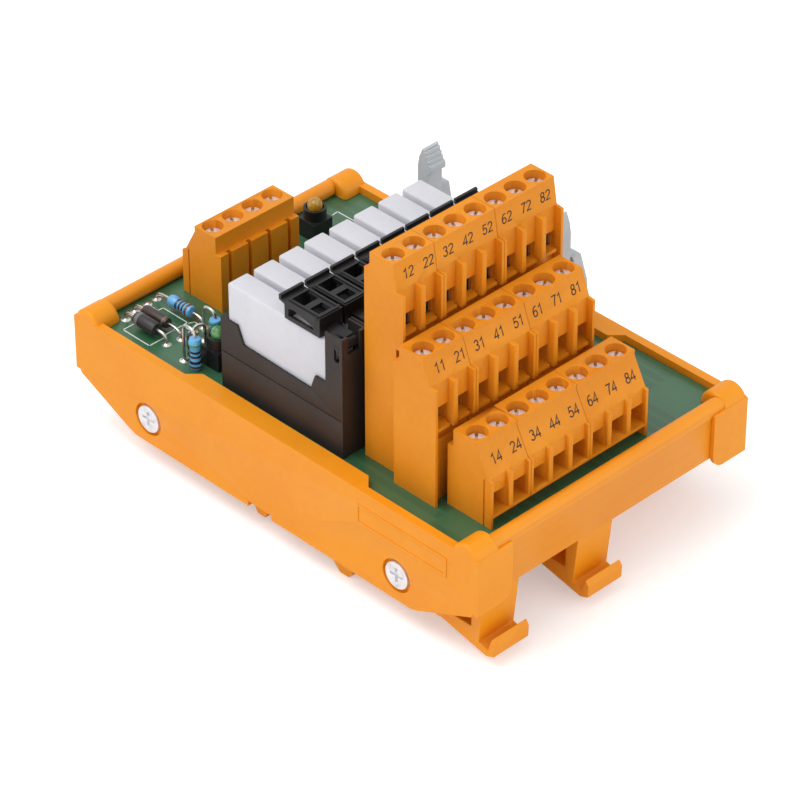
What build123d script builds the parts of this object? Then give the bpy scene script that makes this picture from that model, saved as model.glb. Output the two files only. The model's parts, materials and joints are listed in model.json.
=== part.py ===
from build123d import *
import math
import os
from dataclasses import dataclass

# Relay interface module: eight plug-in relays on a circuit board, in a carrier for a 35 mm rail.
# The frame is in millimetres with +Z up. The origin lies in the plane of the rail's top flanges,
# on the rail's centre line and halfway along the carrier. X runs along the rail, and the three
# rows of output terminals face -Y.

# Rail and rail feet
RAIL_WIDTH = 35.0
RAIL_LIP = 1.0
RAIL_GAP = 0.2
FOOT_WIDTH = 9.0
FOOT_PITCH = 24.3
FOOT_INSET = 0.7
FOOT_REAR_END = 40.0
FOOT_WALL = 1.6
CLAW_REACH = 3.5
CLAW_DROP = 4.4
REAR_CLAW_REACH = 2.9
REAR_CLAW_DROP = 2.4
CLAW_BACK = 1.5
BUMP_START = 2.4
BUMP_LENGTH = 5.3
BUMP_DROP = 2.8
BUMP_SLOPE = 1.6
HOOK_REACH = 2.8
HOOK_DROP = 2.4
HOOK_RISE = 2.0
HOOK_SLOPE_LENGTH = 10.2
WINDOW_HEIGHT = 6.0
WINDOW_SPANS = ((-49.6, -44.2), (-42.8, -37.4), (-29.4, -20.6), (-14.4, -6.0), (-4.6, 1.4), (9.0, 16.4),
                (21.0, 29.4))

# Carrier profile
PROFILE_LENGTH = 67.2
PROFILE_WIDTH = 105.4
PROFILE_WALL = 1.8
FLOOR_HEIGHT = 10.0
FLOOR_THICKNESS = 1.6
BEAD_RADIUS = 1.7
BEAD_INSET = 1.4
BEAD_LIFT = 1.3
LEDGE_WIDTH = 2.0
LEDGE_THICKNESS = 2.0
CHANNEL_Y = 33.3
CHANNEL_HEIGHT = 5.9
CHANNEL_RADIUS = 2.7
CHANNEL_WEB = 2.4
CHANNEL_BORE = 1.45

# Circuit board
BOARD_THICKNESS = 1.6
BOARD_LIFT = 7.0
BOARD_END_GAP = 0.1
BOARD_EDGE_GAP = 0.2
SLOT_GAP = 0.1
PIN_TAIL = 1.4

# End covers and their screws
COVER_WALL = 1.8
COVER_OVERLAP = 0.9
COVER_BOTTOM = 0.4
COVER_RISE = 1.5
COVER_SHOULDER = 9.6
COVER_CORNER = (1.5, 2.5)
COVER_CHAMFER = (14.8, 8.6)
COVER_FOOT_SLOPE = (1.8, 0.6)
COVER_LEDGE_REACH = 2.4
COVER_LEDGE_HALF = 22.0
KNOB_REACH = 4.2
KNOB_WIDTH = 6.6
KNOB_RISE = 3.5
KNOB_ROUND = 0.8
KNOB_SHOULDER = 0.6
TAB_LENGTH = 7.2
TAB_BOTTOM = 7.8
TAB_ROUND = 3.0
SNUG = 0.05
LABEL_SPAN = (-46.0, -23.2)
LABEL_HEIGHTS = (12.6, 16.9)
LABEL_LINE = 0.5
LABEL_RELIEF = 0.15
NOTCH_SPAN = (-0.4, 5.8)
NOTCH_DEPTH = 1.1
SCREW_RECESS_RADIUS = 3.5
SCREW_RECESS_DEPTH = 0.9
SCREW_HOLE_GAP = 0.2
COVER_SCREW_HEAD = 2.8
COVER_SCREW_SHANK = 1.4
COVER_SCREW_LENGTH = 12.0
CROSS_SPAN = 3.2
CROSS_WIDTH = 0.7
CROSS_DEPTH = 0.6

# Screw terminals
POLE_PITCH = 5.08
MODULE_SEAM = 0.1
LOW_EDGE_DISTANCE = 9.6
SUPPLY_EDGE_DISTANCE = 10.3
LOW_HEIGHT = 17.1
MID_HEIGHT = 30.8
TOP_HEIGHT = 45.0
SUPPLY_HEIGHT = 16.4
LOW_INSET = 7.9
MID_INSET = 5.4
TOP_INSET = 7.6
SUPPLY_INSET = 19.6
OUTPUT_MODULES = (2, 3, 3)
SUPPLY_MODULES = (4,)
TERMINAL_FRONT = 2.4
TERMINAL_REAR = 3.4
TERMINAL_STEP_OUT = 1.4
TERMINAL_STEP_DROP = 3.7
RIB_SLOPE = 0.2
RIB_WIDTH = 1.1
END_RIB_WIDTH = 0.6
ROW_GAP = 0.51
TOP_ROW_GAP = 1.55
STEP_CLEARANCE = 0.3
HOLE_RADIUS = 2.05
HEAD_DEPTH = 1.5
HEAD_HEIGHT = 1.8
HEAD_RADIUS = 1.9
SHANK_RADIUS = 1.2
SHANK_GAP = 0.05
SCREWDRIVER_SLOT = 0.6
SCREWDRIVER_SLOT_DEPTH = 0.8
WINDOW_TOP = 10.1
WIRE_WIDTH = 3.9
WIRE_HEIGHT = 4.2
BAR_THICKNESS = 0.9
BAR_WIDTH = 2.4
CAGE_WIDTH = 3.6
CAGE_DEPTH = 4.4
CAGE_SIDE = 0.4
CAGE_TOP = 1.1
CAGE_BOTTOM = 0.8
CAGE_GAP = 0.1
CAGE_END_GAP = 0.2
CONTACT_PIN = 0.9
SILL_THICKNESS = 0.65
RECESS_HEIGHT = 2.5
REAR_SLOT_WIDTH = 0.9
SIDE_LINE_WIDTH = 0.3
SIDE_LINE_SET_BACK = 1.0

# Relays and their sockets
RELAY_COUNT = 8
SOCKET_PITCH = 6.35
SOCKET_INSET = 3.8
SOCKET_WIDTH = 6.1
SOCKET_ROW_GAP = 1.8
SOCKET_LENGTH = 32.2
TOWER_DEPTH = 4.4
TOWER_HEIGHT = 26.1
TOWER_WALL = 0.6
SOCKET_RIM = 11.5
SOCKET_RISE = 4.2
SOCKET_FRONT_LENGTH = 4.4
RIM_STEP = (2.8, 3.4)
RELAY_LENGTH = 28.0
RELAY_WIDTH = 5.0
RELAY_HEIGHT = 15.0
RELAY_SEAT = 8.5
RELAY_BACK = 2.7
RELAY_ROUND = 0.5
RELAY_GAP = 0.1
SOCKET_LINE_HEIGHT = 8.1
SOCKET_LINE = 0.2
PIN_OFFSETS = (2.6, 7.6, 12.6, 20.1, 25.1)
RELAY_PIN = (0.5, 1.0, 3.5)
FORK_GAP = 0.05
FORK_LEAF = 0.6
FORK_DEPTH = 1.6
FORK_FLOOR = 1.0
FORK_HEIGHT = 6.6
FORK_BASE = 2.4
TAIL_WIDTH = 0.5
TAIL_DEPTH = 0.8

# Retaining clips
CLIP_WIDTH = 5.7
CLIP_GAP = 0.2
CLIP_HEIGHT = 4.0
CLIP_LENGTH = 9.1
CLIP_START = 5.95
CLIP_WALL = 0.6
CLIP_TOP = 0.7
LIP_REACH = 1.45
LIP_RISE = 0.45
LIP_THICKNESS = 0.6
LIP_SEAT = 0.3
LIP_DROP = 0.65
LIP_NECK = (0.25, 0.95)
PIVOT_INSET = 1.4
PIVOT_HEIGHT = 23.8
PIVOT_RADIUS = 0.6
PIVOT_GAP = 0.05
HUB_RADIUS = 1.1
TONGUE_WIDTH = 2.4
TONGUE_HEIGHT = 1.6
TONGUE_SIDE_GAP = 0.3
TOWER_SLOT_LENGTH = 2.5
RIM_LINE = 0.35
RIM_RELIEF = 0.25
FRONT_WINDOW = (3.5, 3.4)
BACK_WINDOW = (3.0, 2.4)
WINDOW_BRIDGE = 1.4

# Ribbon cable header
HEADER_INSET = 6.9
HEADER_Y = 3.7
HEADER_WIDTH = 8.8
HEADER_HEIGHT = 9.1
HEADER_FLOOR = 2.6
CAVITY_WIDTH = 6.4
CAVITY_HALF = 14.6
TOWER_OUT = 21.5
CHEEK_HEIGHT = 16.7
CHEEK_SPAN = (16.1, 18.6)
LATCH_WIDTH = 4.0
LATCH_GAP = 0.2
LATCH_OUT = 18.27
LATCH_IN = 15.6
LATCH_HEIGHT = 26.5
LATCH_PIVOT = (17.3, 5.0)
LATCH_HUB = 1.9
LATCH_TRUNNION = 1.0
LATCH_TOE = (13.5, 1.9)
LATCH_LIP = (14.65, 21.7, 22.8)
KEY_SLOT = 4.5
HEADER_PIN = 0.64
HEADER_PITCH = 2.54
HEADER_COLUMNS = 10
HEADER_PIN_HEIGHT = 8.2

# Small parts on the board
YELLOW_LED_INSET = (16.2, 7.9)
GREEN_LED_INSET = (8.3, 5.74)
HOLDER_SIDE = 4.8
HOLDER_HEIGHT = 4.0
CUP_RADIUS = 2.3
CUP_WALL = 0.55
CUP_HEIGHT = 2.4
LED_RADIUS = 1.5
LED_FLANGE = 1.7
LED_SEAT = 2.0
LED_STRAIGHT = 4.7
LED_LEAD = 0.45
LED_LEAD_PITCH = 2.54
LEAD_RADIUS = 0.3
LEAD_GAP = 0.12
LEAD_BEND = 0.9


@dataclass(frozen=True)
class Face:
    """The wire side of a row, in distances in front of its screws and below its top."""
    upright: float
    drop: float
    reach: float
    rib_reach: float
    window_top: float
    sill_reach: float
    sill_width: float
    recess: float
    side_line: float


@dataclass(frozen=True)
class Row:
    """One row of screw terminals: where it stands, how tall it is and which way its wires enter."""
    name: str
    left: float
    hole_y: float
    height: float
    facing: int
    modules: tuple
    rib_foot: float
    face: Face


@dataclass(frozen=True)
class FlatPart:
    """A leaded part that lies on the board along Y, placed from the board's left end and rear edge."""
    name: str
    inset: float
    body_inset: tuple
    pad_inset: tuple
    radius: float
    waist: float
    axis_height: float

    @property
    def x(self):
        """The X of the part's axis."""
        return BOARD_LEFT + self.inset

    @property
    def body(self):
        """The Y of the body's two ends."""
        return tuple(BOARD_REAR - inset for inset in self.body_inset)

    @property
    def pads(self):
        """The Y of the two pads."""
        return tuple(BOARD_REAR - inset for inset in self.pad_inset)


@dataclass(frozen=True)
class UprightPart:
    """A part on end, placed from the board's left end and the front of the sockets."""
    name: str
    foot_inset: tuple
    pad_inset: tuple
    radius: float
    waist: float
    length: float

    @property
    def foot(self):
        """The X and Y of the lead below the body."""
        return (BOARD_LEFT + self.foot_inset[0], SOCKET_FRONT + self.foot_inset[1])

    @property
    def pad(self):
        """The X and Y of the bent lead's pad."""
        return (BOARD_LEFT + self.pad_inset[0], SOCKET_FRONT + self.pad_inset[1])


LOW_FACE = Face(1.2, 6.7, 5.3, 6.1, 10.1, 6.1, 4.98, 1.2, 10.2)
MID_FACE = Face(0.3, 5.2, 4.25, 5.75, 10.5, 5.35, 3.0, 0.6, 0.0)
TOP_FACE = Face(0.3, 5.5, 3.25, 5.0, 11.0, 4.35, 3.0, 0.4, 0.0)

# Levels and edges that several pieces share
HALF_LENGTH = PROFILE_LENGTH / 2
HALF_WIDTH = PROFILE_WIDTH / 2
WALL_INSIDE = HALF_WIDTH - PROFILE_WALL
BOARD_BOTTOM = FLOOR_HEIGHT + BOARD_LIFT
BOARD_TOP = BOARD_BOTTOM + BOARD_THICKNESS
BOARD_HALF_WIDTH = WALL_INSIDE - BOARD_EDGE_GAP
BOARD_HALF_LENGTH = HALF_LENGTH - BOARD_END_GAP
BOARD_LEFT = -BOARD_HALF_LENGTH
BOARD_REAR = BOARD_HALF_WIDTH
BEAD_Y = HALF_WIDTH - BEAD_INSET
BEAD_Z = BOARD_TOP + BEAD_LIFT
COVER_OUTSIDE = HALF_LENGTH + COVER_WALL
COVER_HALF_WIDTH = HALF_WIDTH + COVER_OVERLAP
TERMINAL_BACK = TERMINAL_REAR + TERMINAL_STEP_OUT
BAR_BOTTOM = WINDOW_TOP
BAR_TOP = BAR_BOTTOM - BAR_THICKNESS
SILL_TOP = WINDOW_TOP + WIRE_HEIGHT
SILL_BOTTOM = SILL_TOP + SILL_THICKNESS
CAGE_FLOOR = SILL_TOP + CAGE_GAP

LOW_Y = -(BOARD_HALF_WIDTH - LOW_EDGE_DISTANCE)
MID_Y = LOW_Y + TERMINAL_BACK + MID_FACE.rib_reach + ROW_GAP
TOP_Y = MID_Y + TERMINAL_BACK + TOP_FACE.reach + TOP_ROW_GAP
SUPPLY_Y = BOARD_HALF_WIDTH - SUPPLY_EDGE_DISTANCE
SOCKET_BACK = TOP_Y + TERMINAL_BACK + SOCKET_ROW_GAP
SOCKET_FRONT = SOCKET_BACK + SOCKET_LENGTH
SOCKET_FIRST = BOARD_LEFT + SOCKET_INSET
RELAY_END = SOCKET_BACK + RELAY_BACK
RELAY_BOTTOM = BOARD_TOP + RELAY_SEAT
RELAY_TOP = RELAY_BOTTOM + RELAY_HEIGHT
PIVOT_Y = SOCKET_BACK + PIVOT_INSET
PIVOT_Z = BOARD_TOP + PIVOT_HEIGHT
HEADER_X = BOARD_HALF_LENGTH - HEADER_INSET

ROWS = (
    Row("low", BOARD_LEFT + LOW_INSET, LOW_Y, LOW_HEIGHT, -1, OUTPUT_MODULES, 0.0, LOW_FACE),
    Row("mid", BOARD_LEFT + MID_INSET, MID_Y, MID_HEIGHT, -1, OUTPUT_MODULES, 0.0, MID_FACE),
    Row("top", BOARD_LEFT + TOP_INSET, TOP_Y, TOP_HEIGHT, -1, OUTPUT_MODULES,
        MID_HEIGHT - TERMINAL_STEP_DROP + STEP_CLEARANCE, TOP_FACE),
    Row("supply", BOARD_LEFT + SUPPLY_INSET, SUPPLY_Y, SUPPLY_HEIGHT, 1, SUPPLY_MODULES, 0.0, LOW_FACE),
)

FLAT_PARTS = (
    FlatPart("resistor_flat", 13.9, (13.0, 6.9), (16.1, 2.8), 1.25, 1.05, 1.9),
    FlatPart("diode_small", 8.3, (12.5, 5.8), (16.0, 3.0), 1.15, 1.15, 1.8),
    FlatPart("diode_large", 5.2, (12.8, 6.9), (15.3, 3.8), 1.8, 1.8, 2.3),
)

UPRIGHT_PARTS = (
    UprightPart("resistor_front", (3.9, 7.44), (4.1, 10.84), 1.25, 1.05, 6.8),
    UprightPart("resistor_rear", (11.2, 9.84), (11.2, 13.04), 1.25, 1.05, 6.4),
    UprightPart("diode_upright", (6.0, 10.44), (8.6, 9.84), 1.1, 1.1, 5.2),
)

LED_SPOTS = {
    "led_yellow": (BOARD_HALF_LENGTH - YELLOW_LED_INSET[0], BOARD_REAR - YELLOW_LED_INSET[1]),
    "led_green": (BOARD_LEFT + GREEN_LED_INSET[0], SOCKET_FRONT + GREEN_LED_INSET[1]),
}


def block(x, y, z):
    """A box between three pairs of limits."""
    centre = Pos((x[0] + x[1]) / 2, (y[0] + y[1]) / 2, (z[0] + z[1]) / 2)
    return centre * Box(abs(x[1] - x[0]), abs(y[1] - y[0]), abs(z[1] - z[0]))


def prism(points, x):
    """A side outline of (y, z) points, drawn out along X between two limits."""
    outline = Plane.YZ.offset(x[0]) * Polygon(*points, align=None)
    return extrude(outline, amount=x[1] - x[0], dir=(1, 0, 0))


def post(radius, x, y, z):
    """A round post along Z between two heights."""
    return Pos(x, y, z[0]) * Cylinder(radius, z[1] - z[0], align=(Align.CENTER, Align.CENTER, Align.MIN))


def bar(radius, x, y, z):
    """A round bar along X between two limits."""
    turned = Rot(0, 90, 0) * Cylinder(radius, x[1] - x[0], align=(Align.CENTER, Align.CENTER, Align.MIN))
    return Pos(x[0], y, z) * turned


def around(centre, half):
    """The limits of a width about its middle."""
    return (centre - half, centre + half)


def save(name, shape):
    """Write one sub-part under the name of its node."""
    export_step(shape, f"parts/{name}.step")


# Carrier, covers and feet

def make_profile():
    """The extruded carrier: floor, two walls with a bead and a board groove, and two screw channels."""
    along = (-HALF_LENGTH, HALF_LENGTH)
    shape = block(along, (-WALL_INSIDE, WALL_INSIDE), (FLOOR_HEIGHT, FLOOR_HEIGHT + FLOOR_THICKNESS))
    for side in (-1, 1):
        wall = (side * WALL_INSIDE, side * HALF_WIDTH)
        shape += block(along, wall, (FLOOR_HEIGHT, BEAD_Z))
        shape += bar(BEAD_RADIUS, along, side * BEAD_Y, BEAD_Z)
        ledge = (side * (WALL_INSIDE - LEDGE_WIDTH), side * WALL_INSIDE)
        shape += block(along, ledge, (BOARD_BOTTOM - LEDGE_THICKNESS, BOARD_BOTTOM))
        shape += bar(CHANNEL_RADIUS, along, side * CHANNEL_Y, CHANNEL_HEIGHT)
        shape += block(along, around(side * CHANNEL_Y, CHANNEL_WEB / 2), (CHANNEL_HEIGHT, FLOOR_HEIGHT))
        shape -= bar(CHANNEL_BORE, along, side * CHANNEL_Y, CHANNEL_HEIGHT)
    groove = BOARD_HALF_WIDTH + SLOT_GAP
    return shape - block(along, (-groove, groove), (BOARD_BOTTOM, BOARD_TOP + SLOT_GAP))


def make_foot(left):
    """A moulded rail foot: hook for a screwdriver, sprung claw, centre bump and fixed claw."""
    width = (left, left + FOOT_WIDTH)
    edge = RAIL_WIDTH / 2 + RAIL_GAP
    grip = -(RAIL_LIP + RAIL_GAP)
    hook = -(HALF_WIDTH + HOOK_REACH)
    heel = -(HALF_WIDTH - HOOK_SLOPE_LENGTH)
    outline = [
        (-HALF_WIDTH, FLOOR_HEIGHT),
        (-HALF_WIDTH + 1.1, -0.2),
        (hook + FOOT_WALL, -HOOK_DROP + FOOT_WALL - 0.1),
        (hook + 0.8, HOOK_RISE),
        (hook, HOOK_RISE - 1.0),
        (hook + 0.1, -HOOK_DROP + 0.7),
        (hook + 2.0, -HOOK_DROP),
        (heel, 0.0),
        (-edge - CLAW_BACK, 0.0),
        (-edge - CLAW_BACK, 1.0 - CLAW_DROP),
        (-edge - CLAW_BACK + 1.0, -CLAW_DROP),
        (-edge + CLAW_REACH - 1.8, -CLAW_DROP),
        (-edge + CLAW_REACH, 1.8 - CLAW_DROP),
        (-edge + CLAW_REACH, grip),
        (-edge, grip),
        (-edge, 0.0),
        (BUMP_START, 0.0),
        (BUMP_START + BUMP_SLOPE, -BUMP_DROP),
        (BUMP_START + BUMP_LENGTH - BUMP_SLOPE, -BUMP_DROP),
        (BUMP_START + BUMP_LENGTH, 0.0),
        (edge, 0.0),
        (edge, grip),
        (edge - REAR_CLAW_REACH, grip),
        (edge - REAR_CLAW_REACH + 0.8, -REAR_CLAW_DROP),
        (edge + CLAW_BACK, -REAR_CLAW_DROP),
        (edge + CLAW_BACK + 0.6, 0.0),
        (FOOT_REAR_END - 3.0, 0.0),
        (FOOT_REAR_END, 3.0),
        (FOOT_REAR_END, FLOOR_HEIGHT),
    ]
    shape = prism(outline, width)
    for side in (-1, 1):
        shape -= bar(CHANNEL_RADIUS + SLOT_GAP, width, side * CHANNEL_Y, CHANNEL_HEIGHT)
        web = around(side * CHANNEL_Y, CHANNEL_WEB / 2 + SLOT_GAP)
        shape -= block(width, web, (CHANNEL_HEIGHT, FLOOR_HEIGHT))
    for span in WINDOW_SPANS:
        shape -= block(width, span, (FLOOR_HEIGHT - FOOT_WALL - WINDOW_HEIGHT, FLOOR_HEIGHT - FOOT_WALL))
    return shape


def cover_outline():
    """Points of the cover plate's edge, from the front top corner round to the rear one."""
    half = [
        (COVER_HALF_WIDTH - KNOB_SHOULDER, BOARD_TOP + COVER_RISE),
        (COVER_HALF_WIDTH, BOARD_TOP + KNOB_RISE - KNOB_WIDTH / 2),
        (COVER_HALF_WIDTH, COVER_SHOULDER),
        (COVER_HALF_WIDTH - COVER_CORNER[0], COVER_SHOULDER - COVER_CORNER[1]),
        (COVER_HALF_WIDTH - COVER_CHAMFER[0], COVER_SHOULDER - COVER_CHAMFER[1]),
        (COVER_HALF_WIDTH - COVER_CHAMFER[0] - COVER_FOOT_SLOPE[0], COVER_BOTTOM),
    ]
    return half + [(-y, z) for y, z in reversed(half)]


def make_knob(side):
    """The rounded cap over a bead's end, with the tab that hugs the profile's wall below it."""
    outer = side * COVER_HALF_WIDTH
    radius = KNOB_WIDTH / 2
    along = (HALF_LENGTH - KNOB_REACH, COVER_OUTSIDE)
    middle = side * (COVER_HALF_WIDTH - radius)
    cap = bar(radius, along, middle, BOARD_TOP + KNOB_RISE - radius)
    cap = fillet(cap.edges().filter_by(GeomType.CIRCLE), KNOB_ROUND)
    cap -= block(along, around(middle, radius), (BOARD_TOP - radius, BOARD_TOP + SLOT_GAP))
    tab_start = COVER_OUTSIDE - COVER_WALL - TAB_LENGTH
    tab = block((tab_start, COVER_OUTSIDE), (side * (HALF_WIDTH + SNUG), outer), (TAB_BOTTOM, BEAD_Z))
    low_corner = tab.edges().filter_by(Axis.Y).group_by(Axis.Z)[0].sort_by(Axis.X)[0]
    tab = fillet(low_corner, TAB_ROUND)
    hollow = bar(BEAD_RADIUS + SNUG, (tab_start, HALF_LENGTH), side * BEAD_Y, BEAD_Z)
    wall = (side * (WALL_INSIDE - SNUG), side * (HALF_WIDTH + SNUG))
    hollow += block((tab_start, HALF_LENGTH), wall, (TAB_BOTTOM, BEAD_Z))
    return cap + tab - hollow


def make_cover():
    """The cover at the +X end: plate, ledge over the board's edge, knobs, tabs and screw recesses."""
    plate = (HALF_LENGTH, COVER_OUTSIDE)
    shape = prism(cover_outline(), plate)
    slope = COVER_LEDGE_HALF + COVER_LEDGE_REACH
    tip = HALF_LENGTH - COVER_LEDGE_REACH
    ledge = Polygon((HALF_LENGTH, -slope), (tip, -COVER_LEDGE_HALF), (tip, COVER_LEDGE_HALF),
                    (HALF_LENGTH, slope), align=None)
    shape += Pos(0, 0, BOARD_TOP) * extrude(ledge, amount=COVER_RISE, dir=(0, 0, 1))
    for side in (-1, 1):
        shape += make_knob(side)
        recess = (COVER_OUTSIDE - SCREW_RECESS_DEPTH, COVER_OUTSIDE)
        shape -= bar(SCREW_RECESS_RADIUS, recess, side * CHANNEL_Y, CHANNEL_HEIGHT)
        shape -= bar(COVER_SCREW_SHANK + SCREW_HOLE_GAP, plate, side * CHANNEL_Y, CHANNEL_HEIGHT)
    shape -= block(plate, (-NOTCH_SPAN[1], -NOTCH_SPAN[0]), (COVER_BOTTOM, COVER_BOTTOM + NOTCH_DEPTH))
    field = (-LABEL_SPAN[1], -LABEL_SPAN[0])
    relief = (COVER_OUTSIDE, COVER_OUTSIDE + LABEL_RELIEF)
    frame = block(relief, field, LABEL_HEIGHTS)
    frame -= block(relief, (field[0] + LABEL_LINE, field[1] - LABEL_LINE),
                   (LABEL_HEIGHTS[0] + LABEL_LINE, LABEL_HEIGHTS[1] - LABEL_LINE))
    return shape + frame


def make_cover_screw(side):
    """A cross-recess screw through the +X cover into one channel of the profile."""
    seat = COVER_OUTSIDE - SCREW_RECESS_DEPTH
    shape = bar(COVER_SCREW_HEAD, (seat, COVER_OUTSIDE), side * CHANNEL_Y, CHANNEL_HEIGHT)
    shape += bar(COVER_SCREW_SHANK, (seat - COVER_SCREW_LENGTH, seat), side * CHANNEL_Y, CHANNEL_HEIGHT)
    deep = (COVER_OUTSIDE - CROSS_DEPTH, COVER_OUTSIDE)
    long = CROSS_SPAN / 2
    thin = CROSS_WIDTH / 2
    shape -= block(deep, around(side * CHANNEL_Y, long), around(CHANNEL_HEIGHT, thin))
    return shape - block(deep, around(side * CHANNEL_Y, thin), around(CHANNEL_HEIGHT, long))


def make_carrier():
    """Profile, two covers turned end for end, four cover screws and two feet."""
    save("carrier_profile", make_profile())
    turn = Rot(0, 0, 180)
    cover = make_cover()
    save("end_cover_right", cover)
    save("end_cover_left", turn * cover)
    screws = [make_cover_screw(side) for side in (-1, 1)]
    save("cover_screws", Compound(screws + [turn * screw for screw in screws]))
    first = -HALF_LENGTH + FOOT_INSET
    save("rail_foot_outer", make_foot(first))
    save("rail_foot_inner", make_foot(first + FOOT_PITCH))


# Screw terminals

def pole_centres(row):
    """The X of each pole's screw, from left to right."""
    return [row.left + POLE_PITCH * (index + 0.5) for index in range(sum(row.modules))]


def in_row(row, distance):
    """The Y that lies a distance in front of the row's screws, on the side where wires enter."""
    return row.hole_y + row.facing * distance


def span_in_row(row, back, front):
    """Limits in Y between two distances in front of the row's screws."""
    return tuple(sorted((in_row(row, back), in_row(row, front))))


def make_housing(row, first_pole, poles):
    """One moulded terminal housing, hollow for its screws, cages, wires and contact strips."""
    face = row.face
    base = BOARD_TOP
    top = base + row.height
    left = row.left + POLE_PITCH * first_pole
    right = left + POLE_PITCH * poles
    width = (left + MODULE_SEAM / 2, right - MODULE_SEAM / 2)
    outline = [
        (in_row(row, -TERMINAL_BACK), base),
        (in_row(row, -TERMINAL_BACK), top - TERMINAL_STEP_DROP),
        (in_row(row, -TERMINAL_REAR), top - TERMINAL_STEP_DROP),
        (in_row(row, -TERMINAL_REAR), top),
        (in_row(row, TERMINAL_FRONT), top),
        (in_row(row, TERMINAL_FRONT), top - face.upright),
        (in_row(row, face.reach), top - face.drop),
        (in_row(row, face.reach), base),
    ]
    shape = prism(outline, width)
    recess = (max(base, top - SILL_BOTTOM - RECESS_HEIGHT), top - SILL_BOTTOM)
    shape -= block(width, span_in_row(row, face.reach - face.recess, face.reach), recess)
    for index in range(poles + 1):
        shape += make_rib(row, first_pole + index, left + POLE_PITCH * index, width)
    for index in range(poles):
        x = left + POLE_PITCH * (index + 0.5)
        shape += block(around(x, face.sill_width / 2), span_in_row(row, face.reach, face.sill_reach),
                       (top - SILL_BOTTOM, top - SILL_TOP))
    hollows = [hollow for index in range(poles)
               for hollow in pole_hollows(row, left + POLE_PITCH * (index + 0.5))]
    if face.side_line:
        line = around(in_row(row, face.reach - SIDE_LINE_SET_BACK), SIDE_LINE_WIDTH / 2)
        hollows.append(block((width[0], width[0] + SIDE_LINE_WIDTH), line, (base, base + face.side_line)))
    return shape - hollows


def make_rib(row, place, x, width):
    """A rib between two wire windows, or the longer one at either end of the row."""
    face = row.face
    top = BOARD_TOP + row.height
    outer = place in (0, sum(row.modules))
    foot = BOARD_TOP + row.rib_foot if outer else top - SILL_BOTTOM
    back = face.reach - face.recess if outer else face.reach
    outline = [
        (in_row(row, face.reach), top - face.drop),
        (in_row(row, face.rib_reach), top - face.drop - RIB_SLOPE),
        (in_row(row, face.rib_reach), foot),
        (in_row(row, back), foot),
        (in_row(row, back), top - face.drop),
    ]
    if x - RIB_WIDTH / 2 < width[0]:
        span = (width[0], width[0] + END_RIB_WIDTH)
    elif x + RIB_WIDTH / 2 > width[1]:
        span = (width[1] - END_RIB_WIDTH, width[1])
    else:
        span = around(x, RIB_WIDTH / 2)
    return prism(outline if outer else outline[:4], span)


def pole_hollows(row, x):
    """What is cut from a housing for one pole: screw well, cage chamber, wire way and strip slot."""
    top = BOARD_TOP + row.height
    seat = top - HEAD_DEPTH - HEAD_HEIGHT
    chamber_top = top - BAR_TOP + CAGE_TOP + CAGE_GAP
    chamber_bottom = top - CAGE_FLOOR - CAGE_BOTTOM
    chamber_half = CAGE_DEPTH / 2 + CAGE_END_GAP
    return [
        post(HOLE_RADIUS, x, row.hole_y, (seat, top)),
        post(SHANK_RADIUS + 3 * SHANK_GAP, x, row.hole_y, (chamber_top, seat)),
        block(around(x, CAGE_WIDTH / 2 + CAGE_GAP), span_in_row(row, -chamber_half, chamber_half),
              (chamber_bottom, chamber_top)),
        block(around(x, WIRE_WIDTH / 2), span_in_row(row, chamber_half, row.face.reach),
              (top - SILL_TOP, top - row.face.window_top)),
        block(around(x, BAR_WIDTH / 2), span_in_row(row, -chamber_half - BAR_THICKNESS, -chamber_half),
              (BOARD_TOP, top - BAR_TOP)),
        block(around(x, REAR_SLOT_WIDTH / 2), span_in_row(row, -TERMINAL_BACK, -TERMINAL_REAR - 0.4),
              (BOARD_TOP, top - TERMINAL_STEP_DROP)),
    ]


def make_terminal_screw(row, x, turn):
    """A slotted clamp screw, whose tip bears on the contact strip."""
    top = BOARD_TOP + row.height
    head_top = top - HEAD_DEPTH
    seat = head_top - HEAD_HEIGHT
    shape = post(HEAD_RADIUS, x, row.hole_y, (seat, head_top))
    shape += post(SHANK_RADIUS, x, row.hole_y, (top - BAR_TOP, seat))
    slot = Box(SCREWDRIVER_SLOT, 2 * HEAD_RADIUS, SCREWDRIVER_SLOT_DEPTH)
    return shape - Pos(x, row.hole_y, head_top - SCREWDRIVER_SLOT_DEPTH / 2) * Rot(0, 0, turn) * slot


def make_cage(row, x):
    """The clamp cage: a metal frame that the screw draws up against the wire."""
    top = BOARD_TOP + row.height
    depth = span_in_row(row, -CAGE_DEPTH / 2, CAGE_DEPTH / 2)
    roof = top - BAR_TOP
    floor = top - CAGE_FLOOR
    shape = block(around(x, CAGE_WIDTH / 2), depth, (floor - CAGE_BOTTOM, roof + CAGE_TOP))
    shape -= block(around(x, CAGE_WIDTH / 2 - CAGE_SIDE), depth, (floor, roof))
    return shape - post(SHANK_RADIUS + SHANK_GAP, x, row.hole_y, (roof, roof + CAGE_TOP))


def make_contact(row, x):
    """The contact strip: a bar through the cage, a leg down behind it and a pin through the board."""
    top = BOARD_TOP + row.height
    back = -CAGE_DEPTH / 2 - CAGE_END_GAP
    shape = block(around(x, BAR_WIDTH / 2), span_in_row(row, back - BAR_THICKNESS, CAGE_DEPTH / 2),
                  (top - BAR_BOTTOM, top - BAR_TOP))
    leg = span_in_row(row, back - BAR_THICKNESS, back)
    shape += block(around(x, BAR_WIDTH / 2), leg, (BOARD_TOP, top - BAR_BOTTOM))
    return shape + block(around(x, CONTACT_PIN / 2), leg, (BOARD_BOTTOM - PIN_TAIL, BOARD_TOP))


def contact_pin_spot(row):
    """The Y of the row's pins in the board."""
    return in_row(row, -CAGE_DEPTH / 2 - CAGE_END_GAP - BAR_THICKNESS / 2)


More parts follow.
